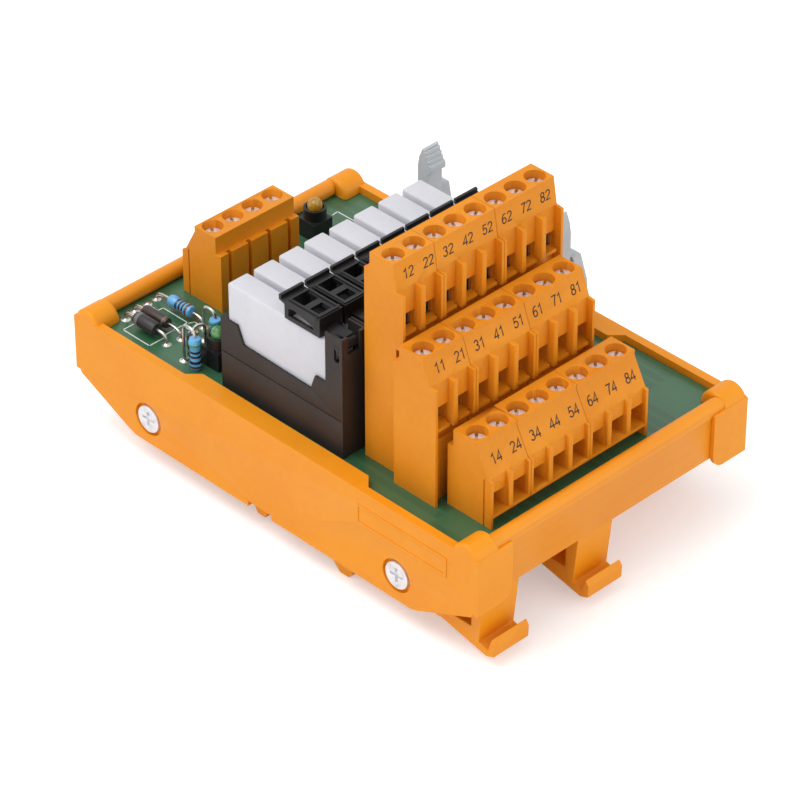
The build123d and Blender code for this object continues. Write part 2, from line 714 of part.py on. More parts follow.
def make_terminals():
    """Housings one by one, and screws, cages and contact strips in one node of each kind."""
    screws = []
    cages = []
    contacts = []
    for row in ROWS:
        first = 0
        for letter, poles in zip("abc", row.modules):
            suffix = "" if len(row.modules) == 1 else f"_{letter}"
            save(f"terminal_{row.name}{suffix}", make_housing(row, first, poles))
            first += poles
        for index, x in enumerate(pole_centres(row)):
            turn = -45 + 14 * math.sin(2.3 * index + row.height)
            screws.append(make_terminal_screw(row, x, turn))
            cages.append(make_cage(row, x))
            contacts.append(make_contact(row, x))
    save("terminal_screws", Compound(screws))
    save("clamp_cages", Compound(cages))
    save("terminal_contacts", Compound(contacts))


# Relays, sockets and clips

def socket_left(index):
    """The X of a socket's left face."""
    return SOCKET_FIRST + SOCKET_PITCH * index


def pin_ys():
    """The Y of each relay pin, from the tower end."""
    return [RELAY_END + offset for offset in PIN_OFFSETS]


def make_socket(index):
    """A relay socket: side walls about the relay, a tower for the clip and chambers for the contacts."""
    left = socket_left(index)
    width = (left, left + SOCKET_WIDTH)
    middle = left + SOCKET_WIDTH / 2
    front = SOCKET_FRONT
    tower_front = SOCKET_BACK + TOWER_DEPTH
    rim = BOARD_TOP + SOCKET_RIM
    shoulder = rim + SOCKET_RISE
    step = rim + RIM_STEP[1]
    outline = [
        (SOCKET_BACK, BOARD_TOP),
        (SOCKET_BACK, BOARD_TOP + TOWER_HEIGHT),
        (tower_front, BOARD_TOP + TOWER_HEIGHT),
        (tower_front, step),
        (tower_front + RIM_STEP[0], step),
        (tower_front + RIM_STEP[0] + 1.2, rim),
        (front - SOCKET_FRONT_LENGTH - 1.6, rim + 0.5),
        (front - SOCKET_FRONT_LENGTH, shoulder),
        (front, shoulder),
        (front, BOARD_TOP),
    ]
    shape = prism(outline, width)
    well = around(middle, RELAY_WIDTH / 2 + RELAY_GAP)
    relay_end = RELAY_END + RELAY_LENGTH
    high = BOARD_TOP + TOWER_HEIGHT
    pocket = (SOCKET_BACK + TOWER_WALL, tower_front)
    cuts = [
        block(well, (RELAY_END - RELAY_GAP, relay_end + RELAY_GAP), (RELAY_BOTTOM, high)),
        block(well, pocket, (PIVOT_Z - HUB_RADIUS - TOWER_SLOT_LENGTH, high)),
        block(around(middle, TONGUE_WIDTH / 2 + TONGUE_SIDE_GAP), (SOCKET_BACK, pocket[1]),
              (PIVOT_Z - HUB_RADIUS - TONGUE_SIDE_GAP, high)),
        bar(PIVOT_RADIUS + PIVOT_GAP, width, PIVOT_Y, PIVOT_Z),
        bar(PIVOT_RADIUS + PIVOT_GAP, width, PIVOT_Y, PIVOT_Z - TOWER_SLOT_LENGTH),
        block(width, around(PIVOT_Y, PIVOT_RADIUS + PIVOT_GAP), (PIVOT_Z - TOWER_SLOT_LENGTH, PIVOT_Z)),
        block((left, left + SOCKET_LINE), (SOCKET_BACK + SOCKET_LINE, front - SOCKET_LINE),
              around(BOARD_TOP + SOCKET_LINE_HEIGHT, SOCKET_LINE / 2)),
    ]
    chamber = RELAY_PIN[0] / 2 + FORK_GAP + FORK_LEAF
    for y in pin_ys():
        cuts.append(block(around(middle, chamber), around(y, FORK_DEPTH / 2 + FORK_GAP),
                          (BOARD_TOP + FORK_FLOOR, RELAY_BOTTOM)))
        cuts.append(block(around(middle, TAIL_WIDTH / 2), around(y, TAIL_DEPTH / 2),
                          (BOARD_TOP, BOARD_TOP + FORK_FLOOR)))
    return shape - cuts


def make_fork(x, y):
    """A socket contact: a fork about the relay's pin, with a solder tail through the board."""
    floor = BOARD_TOP + FORK_FLOOR
    inner = RELAY_PIN[0] / 2 + FORK_GAP
    depth = around(y, FORK_DEPTH / 2)
    shape = block(around(x, inner + FORK_LEAF), depth, (floor, floor + FORK_HEIGHT))
    shape -= block(around(x, inner), depth, (floor + FORK_BASE, floor + FORK_HEIGHT))
    return shape + block(around(x, TAIL_WIDTH / 2), around(y, TAIL_DEPTH / 2),
                         (BOARD_BOTTOM - PIN_TAIL, floor))


def make_relay(index):
    """A slim plug-in relay with five flat pins, sealed in one case."""
    middle = socket_left(index) + SOCKET_WIDTH / 2
    case = block(around(middle, RELAY_WIDTH / 2), (RELAY_END, RELAY_END + RELAY_LENGTH),
                 (RELAY_BOTTOM, RELAY_TOP))
    upright = case.edges().filter_by(Axis.Z)
    shape = fillet(upright + case.faces().sort_by(Axis.Z)[-1].edges(), RELAY_ROUND)
    for y in pin_ys():
        shape += block(around(middle, RELAY_PIN[0] / 2), around(y, RELAY_PIN[1] / 2),
                       (RELAY_BOTTOM - RELAY_PIN[2], RELAY_BOTTOM))
    return shape


def make_clip(index):
    """A retaining clip: a hollow marker carrier over the relay, hinged on trunnions in the tower."""
    middle = socket_left(index) + SOCKET_WIDTH / 2
    width = around(middle, CLIP_WIDTH / 2)
    start = SOCKET_BACK + CLIP_START
    end = start + CLIP_LENGTH
    bottom = RELAY_TOP + CLIP_GAP
    top = bottom + CLIP_HEIGHT
    outline = [
        (start, bottom),
        (start, top),
        (end - LIP_THICKNESS, top),
        (end - LIP_THICKNESS + LIP_SEAT, top - LIP_SEAT),
        (end + LIP_REACH - LIP_THICKNESS, top - LIP_SEAT),
        (end + LIP_REACH - LIP_THICKNESS, top + LIP_RISE),
        (end + LIP_REACH, top + LIP_RISE),
        (end + LIP_REACH, top - LIP_DROP),
        (end + LIP_NECK[0], top - LIP_NECK[1]),
        (end, top - LIP_NECK[1] - LIP_NECK[0]),
        (end, bottom),
    ]
    shape = prism(outline, width)
    inside = around(middle, CLIP_WIDTH / 2 - CLIP_WALL)
    shape -= block(inside, (start + CLIP_WALL, end - CLIP_WALL), (bottom, top - CLIP_TOP))
    front_limits = (end - CLIP_WALL - FRONT_WINDOW[1], end - CLIP_WALL)
    back_end = front_limits[0] - WINDOW_BRIDGE
    back_limits = (back_end - BACK_WINDOW[1], back_end)
    rim_end = end - LIP_THICKNESS - RIM_LINE / 2
    rim = block(around(middle, CLIP_WIDTH / 2 - RIM_LINE), (start + RIM_LINE, rim_end),
                (top, top + RIM_RELIEF))
    rim -= block(around(middle, CLIP_WIDTH / 2 - 2 * RIM_LINE), (start + 2 * RIM_LINE, rim_end - RIM_LINE),
                 (top, top + RIM_RELIEF))
    shape += rim
    shape -= block(around(middle, FRONT_WINDOW[0] / 2), front_limits, (top - CLIP_TOP, top))
    shape -= block(around(middle - 0.2, BACK_WINDOW[0] / 2), back_limits, (top - CLIP_TOP, top))
    side_window = [(start + 1.7, bottom + 0.9), (start + 1.7, bottom + 1.6), (end - 2.4, bottom + 2.7),
                   (end - 1.0, bottom + 2.4), (end - 1.0, bottom + 0.9)]
    shape -= prism(side_window, width)
    reach = (PIVOT_Y, start + CLIP_WALL)
    tongue = around(middle, TONGUE_WIDTH / 2)
    shape += block(tongue, reach, (bottom, bottom + TONGUE_HEIGHT))
    shape += bar(HUB_RADIUS, tongue, PIVOT_Y, PIVOT_Z)
    shape += bar(PIVOT_RADIUS, around(middle, SOCKET_WIDTH / 2), PIVOT_Y, PIVOT_Z)
    return shape + bar(0.45, around(middle, CLIP_WIDTH / 2 + 0.12), start + 1.0, top - 0.3)


def make_relay_row():
    """Eight sockets, relays and clips, and the forks of all sockets in one node."""
    forks = []
    for index in range(RELAY_COUNT):
        save(f"socket_{index + 1}", make_socket(index))
        save(f"relay_{index + 1}", make_relay(index))
        save(f"clip_{index + 1}", make_clip(index))
        middle = socket_left(index) + SOCKET_WIDTH / 2
        forks += [make_fork(middle, y) for y in pin_ys()]
    save("socket_contacts", Compound(forks))


# Ribbon cable header

def header_point(side, distance, height):
    """A point of the header's side view, at a distance from its middle and a height over the board."""
    return (HEADER_Y + side * distance, BOARD_TOP + height)


def header_pin_spots():
    """The X and Y of each pin of the header."""
    half = (HEADER_COLUMNS - 1) / 2
    return [(HEADER_X + row * HEADER_PITCH, HEADER_Y + (column - half) * HEADER_PITCH)
            for row in (-0.5, 0.5) for column in range(HEADER_COLUMNS)]


def make_header():
    """The header's box, with a slotted tower at each end for its latch."""
    half_outline = [
        (TOWER_OUT, 0.0),
        (TOWER_OUT - 1.2, CHEEK_HEIGHT - 4.7),
        (CHEEK_SPAN[1], CHEEK_HEIGHT),
        (CHEEK_SPAN[0], CHEEK_HEIGHT),
        (CAVITY_HALF + 0.8, HEADER_HEIGHT + 4.2),
        (CAVITY_HALF + 0.8, HEADER_HEIGHT),
    ]
    outline = [header_point(1, *point) for point in half_outline]
    outline += [header_point(-1, *point) for point in reversed(half_outline)]
    width = around(HEADER_X, HEADER_WIDTH / 2)
    floor = BOARD_TOP + HEADER_FLOOR
    high = BOARD_TOP + CHEEK_HEIGHT
    cuts = [block(around(HEADER_X, CAVITY_WIDTH / 2), around(HEADER_Y, CAVITY_HALF), (floor, high))]
    key_wall = (HEADER_X - HEADER_WIDTH / 2, HEADER_X - CAVITY_WIDTH / 2)
    cuts.append(block(key_wall, around(HEADER_Y, KEY_SLOT / 2), (floor, high)))
    pivot_z = BOARD_TOP + LATCH_PIVOT[1]
    for side in (-1, 1):
        slot = tuple(sorted((HEADER_Y + side * (LATCH_TOE[0] - 1.1), HEADER_Y + side * TOWER_OUT)))
        cuts.append(block(around(HEADER_X, LATCH_WIDTH / 2 + LATCH_GAP), slot, (BOARD_TOP + 1.2, high)))
        cuts.append(bar(LATCH_TRUNNION + PIVOT_GAP, width, HEADER_Y + side * LATCH_PIVOT[0], pivot_z))
    for x, y in header_pin_spots():
        cuts.append(block(around(x, HEADER_PIN / 2), around(y, HEADER_PIN / 2), (BOARD_TOP, floor)))
    return prism(outline, width) - cuts


def make_latch(side):
    """A latch of the header: grip with ridges, arm, trunnions and the toe that lifts the plug out."""
    lip_in, lip_low, lip_high = LATCH_LIP
    toe_in, toe_low = LATCH_TOE
    outline = [
        (LATCH_OUT, LATCH_PIVOT[1]),
        (LATCH_OUT, LATCH_HEIGHT - 4.3),
        (LATCH_OUT - 0.4, LATCH_HEIGHT - 2.1),
        (LATCH_OUT - 1.3, LATCH_HEIGHT),
        (LATCH_OUT - 1.8, LATCH_HEIGHT - 0.3),
    ]
    ridges = 4
    for ridge in range(ridges):
        share = (ridge + 0.5) / ridges
        along = (LATCH_OUT - 1.8 + share * (lip_in - LATCH_OUT + 1.8),
                 LATCH_HEIGHT - 0.3 + share * (lip_high - LATCH_HEIGHT + 0.3))
        outline.append((along[0] + 0.35, along[1] - 0.05))
        outline.append((along[0] - 0.1, along[1] + 0.15))
    outline += [
        (lip_in, lip_high),
        (lip_in, lip_low),
        (LATCH_IN, lip_low - 0.8),
        (LATCH_IN, LATCH_PIVOT[1] + 1.4),
        (toe_in, toe_low + 1.0),
        (toe_in + 0.1, toe_low),
        (LATCH_PIVOT[0], LATCH_PIVOT[1] - LATCH_HUB),
    ]
    points = [header_point(side, *point) for point in outline]
    width = around(HEADER_X, LATCH_WIDTH / 2)
    pivot = header_point(side, *LATCH_PIVOT)
    shape = prism(points, width) + bar(LATCH_HUB, width, *pivot)
    return shape + bar(LATCH_TRUNNION, around(HEADER_X, HEADER_WIDTH / 2), *pivot)


def make_header_parts():
    """Box, pins in one node, and the two latches."""
    save("header_box", make_header())
    reach = (BOARD_BOTTOM - PIN_TAIL, BOARD_TOP + HEADER_PIN_HEIGHT)
    pins = [block(around(x, HEADER_PIN / 2), around(y, HEADER_PIN / 2), reach)
            for x, y in header_pin_spots()]
    save("header_pins", Compound(pins))
    save("header_latch_rear", make_latch(1))
    save("header_latch_front", make_latch(-1))


# Small parts on the board

def led_lead_ys(y):
    """The Y of an indicator's two leads."""
    return (y - LED_LEAD_PITCH / 2, y + LED_LEAD_PITCH / 2)


def make_holder(x, y):
    """A square spacer with a round cup that shades the indicator."""
    top = BOARD_TOP + HOLDER_HEIGHT
    cup_top = top + CUP_HEIGHT
    shape = block(around(x, HOLDER_SIDE / 2), around(y, HOLDER_SIDE / 2), (BOARD_TOP, top))
    shape += post(CUP_RADIUS, x, y, (top, cup_top))
    shape -= post(CUP_RADIUS - CUP_WALL, x, y, (BOARD_TOP + LED_SEAT, cup_top))
    seat = (BOARD_TOP, BOARD_TOP + LED_SEAT)
    for lead_y in led_lead_ys(y):
        shape -= block(around(x, LED_LEAD / 2), around(lead_y, LED_LEAD / 2), seat)
    return shape


def make_led(x, y):
    """A round indicator lamp with a domed lens, seated in its holder."""
    seat = BOARD_TOP + LED_SEAT
    shape = post(LED_RADIUS, x, y, (seat, seat + LED_STRAIGHT))
    shape += post(LED_FLANGE, x, y, (seat, seat + LED_RADIUS / 2))
    shape += Pos(x, y, seat + LED_STRAIGHT) * Sphere(LED_RADIUS)
    for lead_y in led_lead_ys(y):
        shape += block(around(x, LED_LEAD / 2), around(lead_y, LED_LEAD / 2), (BOARD_BOTTOM - PIN_TAIL, seat))
    return shape


def lead_along(points, bend):
    """A round lead that follows a path with bent corners."""
    path = FilletPolyline(*points, radius=bend)
    section = Plane(origin=points[0], z_dir=path % 0) * Circle(LEAD_RADIUS)
    return sweep(section, path=path)


def make_flat(part):
    """A resistor or diode on its side, with both leads bent down through the board."""
    z = BOARD_TOP + part.axis_height
    start, end = part.body
    length = end - start
    cap = 0.22 * length
    turned = Rot(-90, 0, 0) * Cylinder(part.waist, length, align=(Align.CENTER, Align.CENTER, Align.MIN))
    shape = Pos(part.x, start, z) * turned
    if part.radius > part.waist:
        for low in (start, end - cap):
            ring = Rot(-90, 0, 0) * Cylinder(part.radius, cap, align=(Align.CENTER, Align.CENTER, Align.MIN))
            shape += Pos(part.x, low, z) * ring
    tail = BOARD_BOTTOM - PIN_TAIL
    for inner, pad in ((start + cap, part.pads[0]), (end - cap, part.pads[1])):
        shape += lead_along([(part.x, inner, z), (part.x, pad, z), (part.x, pad, tail)], LEAD_BEND)
    return shape


def make_upright(part):
    """A resistor or diode on end, with the upper lead bent over and down to its pad."""
    x, y = part.foot
    low = BOARD_TOP + 0.5
    high = low + part.length
    cap = 0.22 * part.length
    shape = post(part.waist, x, y, (low, high))
    if part.radius > part.waist:
        shape += post(part.radius, x, y, (low, low + cap))
        shape += post(part.radius, x, y, (high - cap, high))
    tail = BOARD_BOTTOM - PIN_TAIL
    shape += post(LEAD_RADIUS, x, y, (tail, low + cap))
    crest = high + 1.5
    reach = math.dist(part.foot, part.pad)
    points = [(x, y, high - cap), (x, y, crest), (*part.pad, crest), (*part.pad, tail)]
    return shape + lead_along(points, min(1.3, 0.45 * reach))


def lead_spots():
    """The X and Y of each round lead that goes through the board."""
    spots = [(part.x, pad) for part in FLAT_PARTS for pad in part.pads]
    for part in UPRIGHT_PARTS:
        spots += [part.foot, part.pad]
    return spots


def make_small_parts():
    """Indicators in their holders, resistors and diodes."""
    for name, (x, y) in LED_SPOTS.items():
        save(name, make_led(x, y))
        save(name.replace("led", "holder"), make_holder(x, y))
    for part in FLAT_PARTS:
        save(part.name, make_flat(part))
    for part in UPRIGHT_PARTS:
        save(part.name, make_upright(part))


# Circuit board

def half_diagonal(width, depth):
    """The smallest round hole radius that a rectangular pin goes through."""
    return math.hypot(width, depth) / 2


def make_board():
    """The board, drilled for every pin and lead."""
    drill = (BOARD_BOTTOM, BOARD_TOP)
    holes = []
    for row in ROWS:
        radius = half_diagonal(CONTACT_PIN, BAR_THICKNESS) + SLOT_GAP
        holes += [post(radius, x, contact_pin_spot(row), drill) for x in pole_centres(row)]
    for index in range(RELAY_COUNT):
        middle = socket_left(index) + SOCKET_WIDTH / 2
        radius = half_diagonal(TAIL_WIDTH, TAIL_DEPTH) + SLOT_GAP
        holes += [post(radius, middle, y, drill) for y in pin_ys()]
    radius = half_diagonal(HEADER_PIN, HEADER_PIN) + SLOT_GAP
    holes += [post(radius, x, y, drill) for x, y in header_pin_spots()]
    for x, y in LED_SPOTS.values():
        radius = half_diagonal(LED_LEAD, LED_LEAD) + SLOT_GAP
        holes += [post(radius, x, lead_y, drill) for lead_y in led_lead_ys(y)]
    holes += [post(LEAD_RADIUS + LEAD_GAP, x, y, drill) for x, y in lead_spots()]
    sheet = block(around(0.0, BOARD_HALF_LENGTH), around(0.0, BOARD_HALF_WIDTH), drill)
    return sheet - holes


def main():
    """Write every sub-part to its own file."""
    os.makedirs("parts", exist_ok=True)
    make_carrier()
    save("circuit_board", make_board())
    make_terminals()
    make_relay_row()
    make_header_parts()
    make_small_parts()


main()
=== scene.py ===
import json
import logging
import math
from dataclasses import dataclass, field
from enum import Enum
from typing import Any, Iterable, Mapping, Optional, Sequence, Union

import bmesh
import bpy
from mathutils import Matrix, Vector


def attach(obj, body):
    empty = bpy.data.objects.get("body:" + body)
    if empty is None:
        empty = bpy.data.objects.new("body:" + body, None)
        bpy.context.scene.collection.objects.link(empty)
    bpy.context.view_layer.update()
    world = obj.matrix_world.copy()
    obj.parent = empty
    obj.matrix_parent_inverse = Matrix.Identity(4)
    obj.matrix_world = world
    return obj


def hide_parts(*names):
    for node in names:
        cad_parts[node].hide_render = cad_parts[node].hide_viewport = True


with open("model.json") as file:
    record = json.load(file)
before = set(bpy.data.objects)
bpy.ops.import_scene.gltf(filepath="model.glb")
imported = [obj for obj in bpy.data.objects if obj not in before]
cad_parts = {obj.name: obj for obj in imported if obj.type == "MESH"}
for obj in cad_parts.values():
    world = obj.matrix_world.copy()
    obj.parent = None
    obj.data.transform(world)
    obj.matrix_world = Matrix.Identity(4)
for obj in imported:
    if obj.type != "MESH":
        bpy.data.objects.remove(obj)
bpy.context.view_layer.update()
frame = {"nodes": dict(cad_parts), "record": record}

LOG = logging.getLogger("relay_interface")
MM = 0.001
ROOT = "module"
Colour = tuple[float, float, float]
Triple = tuple[float, float, float]
Pair = tuple[float, float]


def srgb(code: str) -> Colour:
    """Turn a colour as it looks on screen into the linear values that a shader takes.

    Args:
        code: Six hexadecimal digits, red first.

    Returns:
        Linear red, green and blue.
    """
    shares = [int(code[start:start + 2], 16) / 255 for start in (0, 2, 4)]
    return tuple(v / 12.92 if v <= 0.04045 else ((v + 0.055) / 1.055) ** 2.4 for v in shares)


# Node trees

class Wire:
    """One output socket that takes part in Python arithmetic by adding Math nodes."""

    def __init__(self, desk: "Desk", socket: bpy.types.NodeSocket) -> None:
        """Keep the socket and the tree that it belongs to."""
        self.desk = desk
        self.socket = socket

    def __add__(self, other: "Value") -> "Wire":
        """Sum of two values."""
        return self.desk.maths("ADD", self, other)

    __radd__ = __add__

    def __sub__(self, other: "Value") -> "Wire":
        """Difference of two values."""
        return self.desk.maths("SUBTRACT", self, other)

    def __rsub__(self, other: "Value") -> "Wire":
        """Difference with the wire on the right."""
        return self.desk.maths("SUBTRACT", other, self)

    def __mul__(self, other: "Value") -> "Wire":
        """Product of two values."""
        return self.desk.maths("MULTIPLY", self, other)

    __rmul__ = __mul__

    def __abs__(self) -> "Wire":
        """Absolute value."""
        return self.desk.maths("ABSOLUTE", self)

    def ramp(self, low: float, high: float) -> "Wire":
        """Rise smoothly from nothing at the low value to one at the high value."""
        node = self.desk.add("ShaderNodeMapRange", {"interpolation_type": "SMOOTHSTEP"},
                             {"Value": self, "From Min": low, "From Max": high})
        return self.desk.out(node, "Result")


Value = Union[Wire, float, int, Sequence[float]]


class Desk:
    """A node tree with short ways to add nodes and plug them together."""

    def __init__(self, tree: bpy.types.NodeTree) -> None:
        """Take a tree that may hold nodes already."""
        self.tree = tree

    def add(self, kind: str, settings: Optional[Mapping[str, Any]] = None,
            inputs: Optional[Mapping[Union[str, int], Any]] = None) -> bpy.types.Node:
        """Add one node.

        Args:
            kind: The node's type.
            settings: Its properties, set before anything else.
            inputs: Values or wires for its sockets, by name or number.

        Returns:
            The new node.
        """
        node = self.tree.nodes.new(kind)
        for name, value in (settings or {}).items():
            setattr(node, name, value)
        for key, value in (inputs or {}).items():
            self.plug(node.inputs[key], value)
        return node

    def plug(self, socket: bpy.types.NodeSocket, value: Any) -> None:
        """Link a wire to a socket, or write a plain value on it.

        Args:
            socket: The input that is fed.
            value: A wire, a number, a colour, a vector or a data block.
        """
        if isinstance(value, Wire):
            self.tree.links.new(value.socket, socket)
        elif socket.type == "RGBA" and len(value) == 3:
            socket.default_value = (*value, 1.0)
        else:
            socket.default_value = value

    def out(self, node: bpy.types.Node, key: Union[str, int] = 0) -> Wire:
        """The wire from one of a node's outputs."""
        return Wire(self, node.outputs[key])

    def maths(self, operation: str, *values: Value) -> Wire:
        """Add a Math node.

        Args:
            operation: The node's operation.
            values: Up to three numbers or wires.

        Returns:
            The result.
        """
        inputs = dict(enumerate(values))
        return self.out(self.add("ShaderNodeMath", {"operation": operation}, inputs))


class Surface(Desk):
    """The node tree of one procedural material."""

    def __init__(self, name: str) -> None:
        """Start an empty material.

        Args:
            name: The material's name.
        """
        self.material = bpy.data.materials.new(name)
        self.material.use_nodes = True
        super().__init__(self.material.node_tree)
        self.tree.nodes.clear()
        self.place = self.out(self.add("ShaderNodeTexCoord"), "Object")

    def stretched(self, scale: Triple) -> Wire:
        """The object's coordinates, stretched for a directional pattern."""
        inputs = {"Vector": self.place, "Scale": scale}
        return self.out(self.add("ShaderNodeMapping", None, inputs), "Vector")

    def axis(self, index: int) -> Wire:
        """One object coordinate in metres: 0 for X, 1 for Y, 2 for Z."""
        return self.out(self.add("ShaderNodeSeparateXYZ", None, {"Vector": self.place}), index)

    def noise(self, grain_mm: float, detail: float = 3.0, roughness: float = 0.55,
              place: Optional[Wire] = None) -> Wire:
        """Smooth noise whose lumps are about a grain wide.

        Args:
            grain_mm: Size of the lumps in millimetres.
            detail: How many finer layers are added.
            roughness: Strength of the finer layers.
            place: Coordinates, the object's own if left out.

        Returns:
            A value around one half.
        """
        inputs = {"Vector": place or self.place, "Scale": 1.0 / (grain_mm * MM),
                  "Detail": detail, "Roughness": roughness}
        return self.out(self.add("ShaderNodeTexNoise", None, inputs), 0)

    def mix(self, share: Value, first: Value, second: Value) -> Wire:
        """Blend two colours.

        Args:
            share: Nothing gives the first colour, one gives the second.
            first: A colour or a wire.
            second: A colour or a wire.

        Returns:
            The blend.
        """
        node = self.add("ShaderNodeMix", {"data_type": "RGBA"})
        for key, value in ((0, share), (6, first), (7, second)):
            self.plug(node.inputs[key], value)
        return self.out(node, 2)

    def bump(self, height: Wire, depth_mm: float, strength: float = 1.0,
             normal: Optional[Wire] = None) -> Wire:
        """Turn a height into a normal.

        Args:
            height: The relief, from nothing to one.
            depth_mm: How deep one unit of relief is.
            strength: How much of the effect is used.
            normal: A relief that this one lies on.

        Returns:
            The normal to feed to a shader.
        """
        inputs = {"Height": height, "Distance": depth_mm * MM, "Strength": strength}
        if normal is not None:
            inputs["Normal"] = normal
        return self.out(self.add("ShaderNodeBump", None, inputs), "Normal")

    def shade(self, **values: Any) -> None:
        """Add the Principled shader and the output.

        Args:
            values: Socket values, with underscores for spaces in the sockets' names.
        """
        inputs = {name.replace("_", " "): value for name, value in values.items()}
        shader = self.add("ShaderNodeBsdfPrincipled", None, inputs)
        self.add("ShaderNodeOutputMaterial", None, {"Surface": self.out(shader)})


# Finishes

class Axis(Enum):
    """The coordinate that runs along a small part's body."""

    Y = 1
    Z = 2


@dataclass(frozen=True)
class Finish:
    """A named finish and the record's slot that it belongs to."""

    name: str
    slot: str

    def lay(self, surface: Surface) -> None:
        """Write the finish's nodes on a new surface."""
        raise NotImplementedError

    def material(self) -> bpy.types.Material:
        """The finish's material, built when it is first asked for."""
        made = bpy.data.materials.get(self.name)
        if made is None:
            surface = Surface(self.name)
            self.lay(surface)
            made = surface.material
        return made


SCATTER_SCALE = 0.0011
SCATTER_RADIUS = (1.0, 0.45, 0.15)


@dataclass(frozen=True)
class Moulding(Finish):
    """Plastic with a fine spark-eroded grain, slow shifts of tone and faint handling marks."""

    colour: Colour
    tone: Colour
    roughness: float = 0.42
    grain_mm: float = 0.16
    depth_mm: float = 0.006
    scatter: float = 0.0
    scuffs: float = 0.06
    glint: float = 0.5

    def cover(self, surface: Surface, colour: Wire, roughness: Wire, normal: Wire) -> None:
        """Add the shader of a slightly translucent plastic."""
        surface.shade(Base_Color=colour, Roughness=roughness, Normal=normal,
                      Subsurface_Weight=self.scatter, Subsurface_Scale=SCATTER_SCALE,
                      Subsurface_Radius=SCATTER_RADIUS, Specular_IOR_Level=self.glint)

    def lay(self, surface: Surface) -> None:
        """Write the plastic's nodes."""
        drift = surface.noise(14.0, 2.0)
        mottle = surface.noise(1.3, 4.0)
        colour = surface.mix((drift * 0.65 + mottle * 0.35).ramp(0.3, 0.7), self.colour, self.tone)
        scuff = surface.noise(0.9, 6.0, 0.75, surface.stretched((1.0, 0.16, 0.5))).ramp(0.58, 0.78)
        grain = surface.noise(self.grain_mm, 2.0, 0.6)
        flow = surface.noise(4.5, 1.0)
        normal = surface.bump(flow, self.depth_mm * 3, 0.6)
        normal = surface.bump(grain, self.depth_mm, 1.0, normal)
        roughness = self.roughness + scuff * self.scuffs + (grain - 0.5) * 0.12
        self.cover(surface, colour, roughness, normal)


@dataclass(frozen=True)
class Extrusion(Moulding):
    """Plastic drawn along X, with fine lines left by the die."""

    line_mm: float = 0.22

    def lay(self, surface: Surface) -> None:
        """Write the extrusion's nodes."""
        along = surface.stretched((0.015, 1.0, 1.0))
        lines = surface.noise(self.line_mm, 2.0, 0.5, along)
        waves = surface.noise(3.0, 2.0, 0.5, along)
        drift = surface.noise(16.0, 2.0)
        colour = surface.mix((drift * 0.7 + lines * 0.3).ramp(0.3, 0.7), self.colour, self.tone)
        normal = surface.bump(waves, self.depth_mm * 4, 0.7)
        normal = surface.bump(lines, self.depth_mm * 0.7, 0.8, normal)
        self.cover(surface, colour, self.roughness + (lines - 0.5) * 0.16, normal)


@dataclass(frozen=True)
class Plating(Finish):
    """Bright plated or tinned metal with tool marks and a little tarnish."""

    colour: Colour
    tarnish: Colour
    roughness: float = 0.24
    mark_mm: float = 0.25
    metal: float = 1.0

    def lay(self, surface: Surface) -> None:
        """Write the metal's nodes."""
        cloud = surface.noise(1.6, 4.0, 0.6)
        marks = surface.noise(self.mark_mm, 3.0, 0.6, surface.stretched((1.0, 0.25, 1.0)))
        colour = surface.mix(cloud.ramp(0.45, 0.75), self.colour, self.tarnish)
        roughness = self.roughness + (marks - 0.5) * 0.2 + cloud.ramp(0.5, 0.8) * 0.1
        surface.shade(Base_Color=colour, Metallic=self.metal, Roughness=roughness,
                      Normal=surface.bump(marks, 0.004, 0.8))


@dataclass(frozen=True)
class SolderMask(Finish):
    """Green lacquer over glass cloth and copper tracks."""

    colour: Colour
    track: Colour
    track_mm: float = 0.9
    pitch_mm: float = 2.54

    def lay(self, surface: Surface) -> None:
        """Write the lacquer's nodes."""
        weave = surface.noise(0.5, 1.0, 0.5)
        pitch = self.pitch_mm * MM
        across = surface.maths("PINGPONG", surface.axis(0), pitch / 2)
        lanes = 1.0 - across.ramp(self.track_mm * MM * 0.45, self.track_mm * MM * 0.55)
        cells = surface.add("ShaderNodeVectorMath", {"operation": "SNAP"},
                            {0: surface.place, 1: (3 * pitch, 5 * pitch, 1.0)})
        fields = surface.noise(9.0, 0.0, 0.5, surface.out(cells)).ramp(0.5, 0.501)
        tracks = lanes * (1.0 - fields) + fields
        cloud = surface.noise(18.0, 2.0)
        colour = surface.mix(tracks * 0.45 + cloud * 0.2, self.colour, self.track)
        normal = surface.bump(tracks, 0.02, 0.6)
        normal = surface.bump(weave, 0.008, 0.5, normal)
        surface.shade(Base_Color=colour, Roughness=0.3 + weave * 0.14, Normal=normal,
                      Coat_Weight=0.3, Coat_Roughness=0.18)


@dataclass(frozen=True)
class Lens(Finish):
    """Tinted clear resin, with lighter patches painted on as a glow from within."""

    colour: Colour
    # The lighter colour that is painted on as a glow from within.
    painted_glow: Colour

    def lay(self, surface: Surface) -> None:
        """Write the resin's nodes."""
        relief_and_painted_glow = surface.noise(1.1, 2.0)
        # Where the noise is high the lens takes the lighter colour, a painted inner glow; the same
        # noise also sets roughness and bump.
        colour = surface.mix(relief_and_painted_glow.ramp(0.35, 0.7), self.colour, self.painted_glow)
        surface.shade(Base_Color=colour, Roughness=0.08 + relief_and_painted_glow * 0.06, Transmission_Weight=0.55,
                      IOR=1.5, Subsurface_Weight=0.3, Subsurface_Scale=0.0012,
                      Normal=surface.bump(relief_and_painted_glow, 0.01, 0.4))


